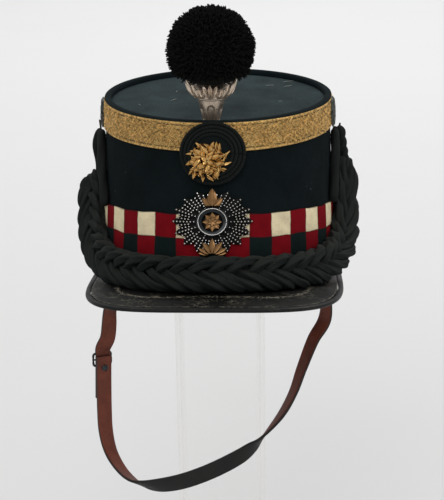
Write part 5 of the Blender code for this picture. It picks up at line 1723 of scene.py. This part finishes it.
class SHAKO_OT_strap(bpy.types.Operator):
    """Make the chin strap in two lengths, with its buckle, stud and inner rivets"""

    bl_idname = "shako.strap"
    bl_label = "Chin strap"

    END_RISE = 0.022
    TURN = math.radians(92.0)
    TURN_DROP = 0.014
    SEAT = 0.0006
    TAIL_LEAD = 0.005
    TAIL_LENGTH = 0.0325
    BUCKLE = (0.0150, 0.0115, 0.0018)
    STUD = (0.0024, 0.0009)
    RIVET = (0.0038, 0.0012)
    STEP = 0.0012
    BUCKLE_WIRE = 0.00085

    def inward(self, along, face_turn):
        """The way the inner face looks, where the strap runs along a direction."""
        front = unit(STRAP_VIEW - along * np.sum(STRAP_VIEW * along, axis=-1, keepdims=True))
        angle = np.radians(np.asarray(face_turn))[..., None]
        return front * np.cos(angle) - np.cross(along, front) * np.sin(angle)

    def anchor(self, sizes, wall, sign):
        """Rows that take the strap up inside the wall at one side, on level axes."""
        inner = -(sizes.crown_wall + self.SEAT + sizes.strap_thickness / 2)
        rises = np.array((self.END_RISE, self.END_RISE / 2, 0.0))
        points = wall.at(sign * self.TURN, rises, inner) - (0.0, 0.0, wall.height)
        rows = [(*point, 90.0) for point in points]
        foot = points[-1]
        rows.append((foot[0], foot[1] * 0.4, foot[2] - self.TURN_DROP, 72.0))
        return rows

    def ribbon(self, name, rows, sizes, wall):
        """A flat strap with rounded edges; its UV map's second value tells its inner face."""
        stations = through(rows, self.STEP)
        places = stations[:, :3] + (0.0, 0.0, wall.height)
        along = unit(np.gradient(places, axis=0))
        inward = self.inward(along, stations[:, 3])
        across = np.cross(along, inward)
        half, thick = sizes.strap_width / 2, sizes.strap_thickness / 2
        section = (
            (-0.93, 1.0, 1.0), (-0.6, 1.0, 1.0), (0.0, 1.0, 1.0), (0.6, 1.0, 1.0),
            (0.93, 1.0, 1.0), (0.985, 0.75, 0.3), (1.0, 0.3, 0.0), (1.0, -0.3, 0.0),
            (0.985, -0.75, 0.0), (0.93, -1.0, 0.0), (0.0, -1.0, 0.0), (-0.93, -1.0, 0.0),
            (-0.985, -0.75, 0.0), (-1.0, -0.3, 0.0), (-1.0, 0.3, 0.0), (-0.985, 0.75, 0.3),
            (-0.93, 1.0, 1.0))
        run = np.arange(len(places)) * self.STEP
        grid, uv = [], []
        for side, face, inner in section:
            grid.append(places + across * half * side + inward * thick * face)
            uv.append(np.stack((run, 0 * run + inner), -1))
        return skin(name, grid, uv)

    def execute(self, context):
        sizes, colours, wall = settings(context)
        leather = two_faced_leather("curried_strap_leather", colours)
        japanned = worn_metal("japanned_iron", linear("#3a3a3c"), 0.35, 0.5, 0.7)
        lift = np.array((0.0, 0.0, wall.height))
        buckle_row = np.array(STRAP_LONG_ROUTE[0])
        place = buckle_row[:3]
        down = unit(np.array(STRAP_LONG_ROUTE[1][:3]) - place)
        inward = self.inward(down, buckle_row[3])
        behind = sizes.strap_thickness + GAP
        rows = self.anchor(sizes, wall, -1.0) + list(STRAP_SHORT_ROUTE)
        for below in (-self.TAIL_LEAD, 0.0, self.TAIL_LENGTH / 2, self.TAIL_LENGTH):
            rows.append((*(place - inward * behind + down * below), buckle_row[3]))
        dress(self.ribbon("strap_short_end", rows, sizes, wall), leather, "strap", "strap_short")
        rows = list(STRAP_LONG_ROUTE) + self.anchor(sizes, wall, 1.0)[::-1]
        dress(self.ribbon("strap_long_end", rows, sizes, wall), leather, "strap", "strap_long")

        width, tall, thick = self.BUCKLE
        seat = behind + sizes.strap_thickness / 2 + GAP + thick / 2
        centre = place - inward * seat + (0.0, 0.0, -tall / 3) + lift
        side = unit(np.array((-inward[1], inward[0], 0.0)))
        up = np.cross(side, inward)
        up = up * (1.0 if up[2] > 0 else -1.0)
        wire = self.BUCKLE_WIRE
        corners = circle(64)[:-1]
        x = np.sign(np.cos(corners)) * np.abs(np.cos(corners)) ** 0.35 * (width / 2 - wire)
        z = np.sign(np.sin(corners)) * np.abs(np.sin(corners)) ** 0.35 * (tall / 2 - wire)
        loop = centre + x[:, None] * side + z[:, None] * up
        mesh = lay_cords("buckle_loop",
            [(loop, wire)], japanned, sides=10, plies=1, groove=0.0, lay=0.01, closed=True)
        bar = centre + np.outer(np.linspace(-1, 1, 13) * (width / 2 - wire), side)
        prong = centre + np.outer(np.linspace(0, 1, 9) * (tall / 2 + 0.0004), up) - inward * 0.0004
        parts = [rounded_ends(bar, wire * 0.8), rounded_ends(prong, wire * 0.7)]
        more = lay_cords("buckle_bar", parts, japanned, sides=8, plies=1, groove=0.0, lay=0.01)
        dress(join_meshes("buckle_frame", [mesh, more]), japanned, "buckle", "buckle")

        studs = [("strap_button", self.STUD, place + (0.0, 0.0, -tall * 0.75) + inward * (
            sizes.strap_thickness / 2 + GAP) + lift, inward, "strap_stud")]
        for name, sign in (("left", -1.0), ("right", 1.0)):
            rows = self.anchor(sizes, wall, sign)
            top = (np.array(rows[0][:3]) + np.array(rows[1][:3])) / 2
            inside = np.array((-sign, 0.0, 0.0))
            spot = top + inside * (sizes.strap_thickness / 2 + GAP) + lift
            studs.append((f"inner_rivet_{name}", self.RIVET, spot, inside, f"strap_rivet_{name}"))
        around = circle(32)[:, None]
        for name, (radius, height), spot, facing, node in studs:
            first = unit(np.cross(facing, (0.0, 0.1, 1.0)))
            second = np.cross(facing, first)
            ring = first * np.cos(around) + second * np.sin(around)
            profile = ((0, 0), (1, 0), (1, 0.25), (0.9, 0.55), (0.65, 0.85), (0.3, 0.98), (0, 1))
            grid = [spot + ring * radius * share + facing * height * up for share, up in profile]
            dress(skin(name, grid), japanned, "buckle", node)
        return {"FINISHED"}


class SHAKO_PT_panel(bpy.types.Panel):
    """Lists the pieces of the hat and their sizes"""

    bl_idname = "SHAKO_PT_panel"
    bl_label = "Shako"
    bl_space_type = "VIEW_3D"
    bl_region_type = "UI"
    bl_category = "Shako"

    def draw(self, context):
        column = self.layout.column()
        for step in STEPS:
            column.operator(step.bl_idname)
        for group in (context.scene.shako_sizes, context.scene.shako_colours):
            box = self.layout.box()
            for name in group.__annotations__:
                box.prop(group, name)


STEPS = (
    SHAKO_OT_stage,
    SHAKO_OT_stand,
    SHAKO_OT_crown,
    SHAKO_OT_lace,
    SHAKO_OT_diced,
    SHAKO_OT_peak,
    SHAKO_OT_boss,
    SHAKO_OT_plate,
    SHAKO_OT_tuft,
    SHAKO_OT_plait,
    SHAKO_OT_side_fittings,
    SHAKO_OT_strap,
)
CLASSES = (ShakoSizes, ShakoColours, *STEPS, SHAKO_PT_panel)


def register():
    """Register the classes and hang the settings on the scene."""
    for item in CLASSES:
        bpy.utils.register_class(item)
    bpy.types.Scene.shako_sizes = PointerProperty(type=ShakoSizes)
    bpy.types.Scene.shako_colours = PointerProperty(type=ShakoColours)


def unregister():
    """Take the settings off the scene and unregister the classes."""
    del bpy.types.Scene.shako_colours
    del bpy.types.Scene.shako_sizes
    for item in reversed(CLASSES):
        bpy.utils.unregister_class(item)


def main():
    """Make every piece in order."""
    register()
    cord_tree()
    setting_tree()
    tuft_tree()
    bpy.ops.shako.stage()
    bpy.ops.shako.stand()
    bpy.ops.shako.crown()
    bpy.ops.shako.lace()
    bpy.ops.shako.diced()
    bpy.ops.shako.peak()
    bpy.ops.shako.boss()
    bpy.ops.shako.plate()
    bpy.ops.shako.tuft()
    bpy.ops.shako.plait()
    bpy.ops.shako.side_fittings()
    bpy.ops.shako.strap()


if __name__ == "__main__":
    main()
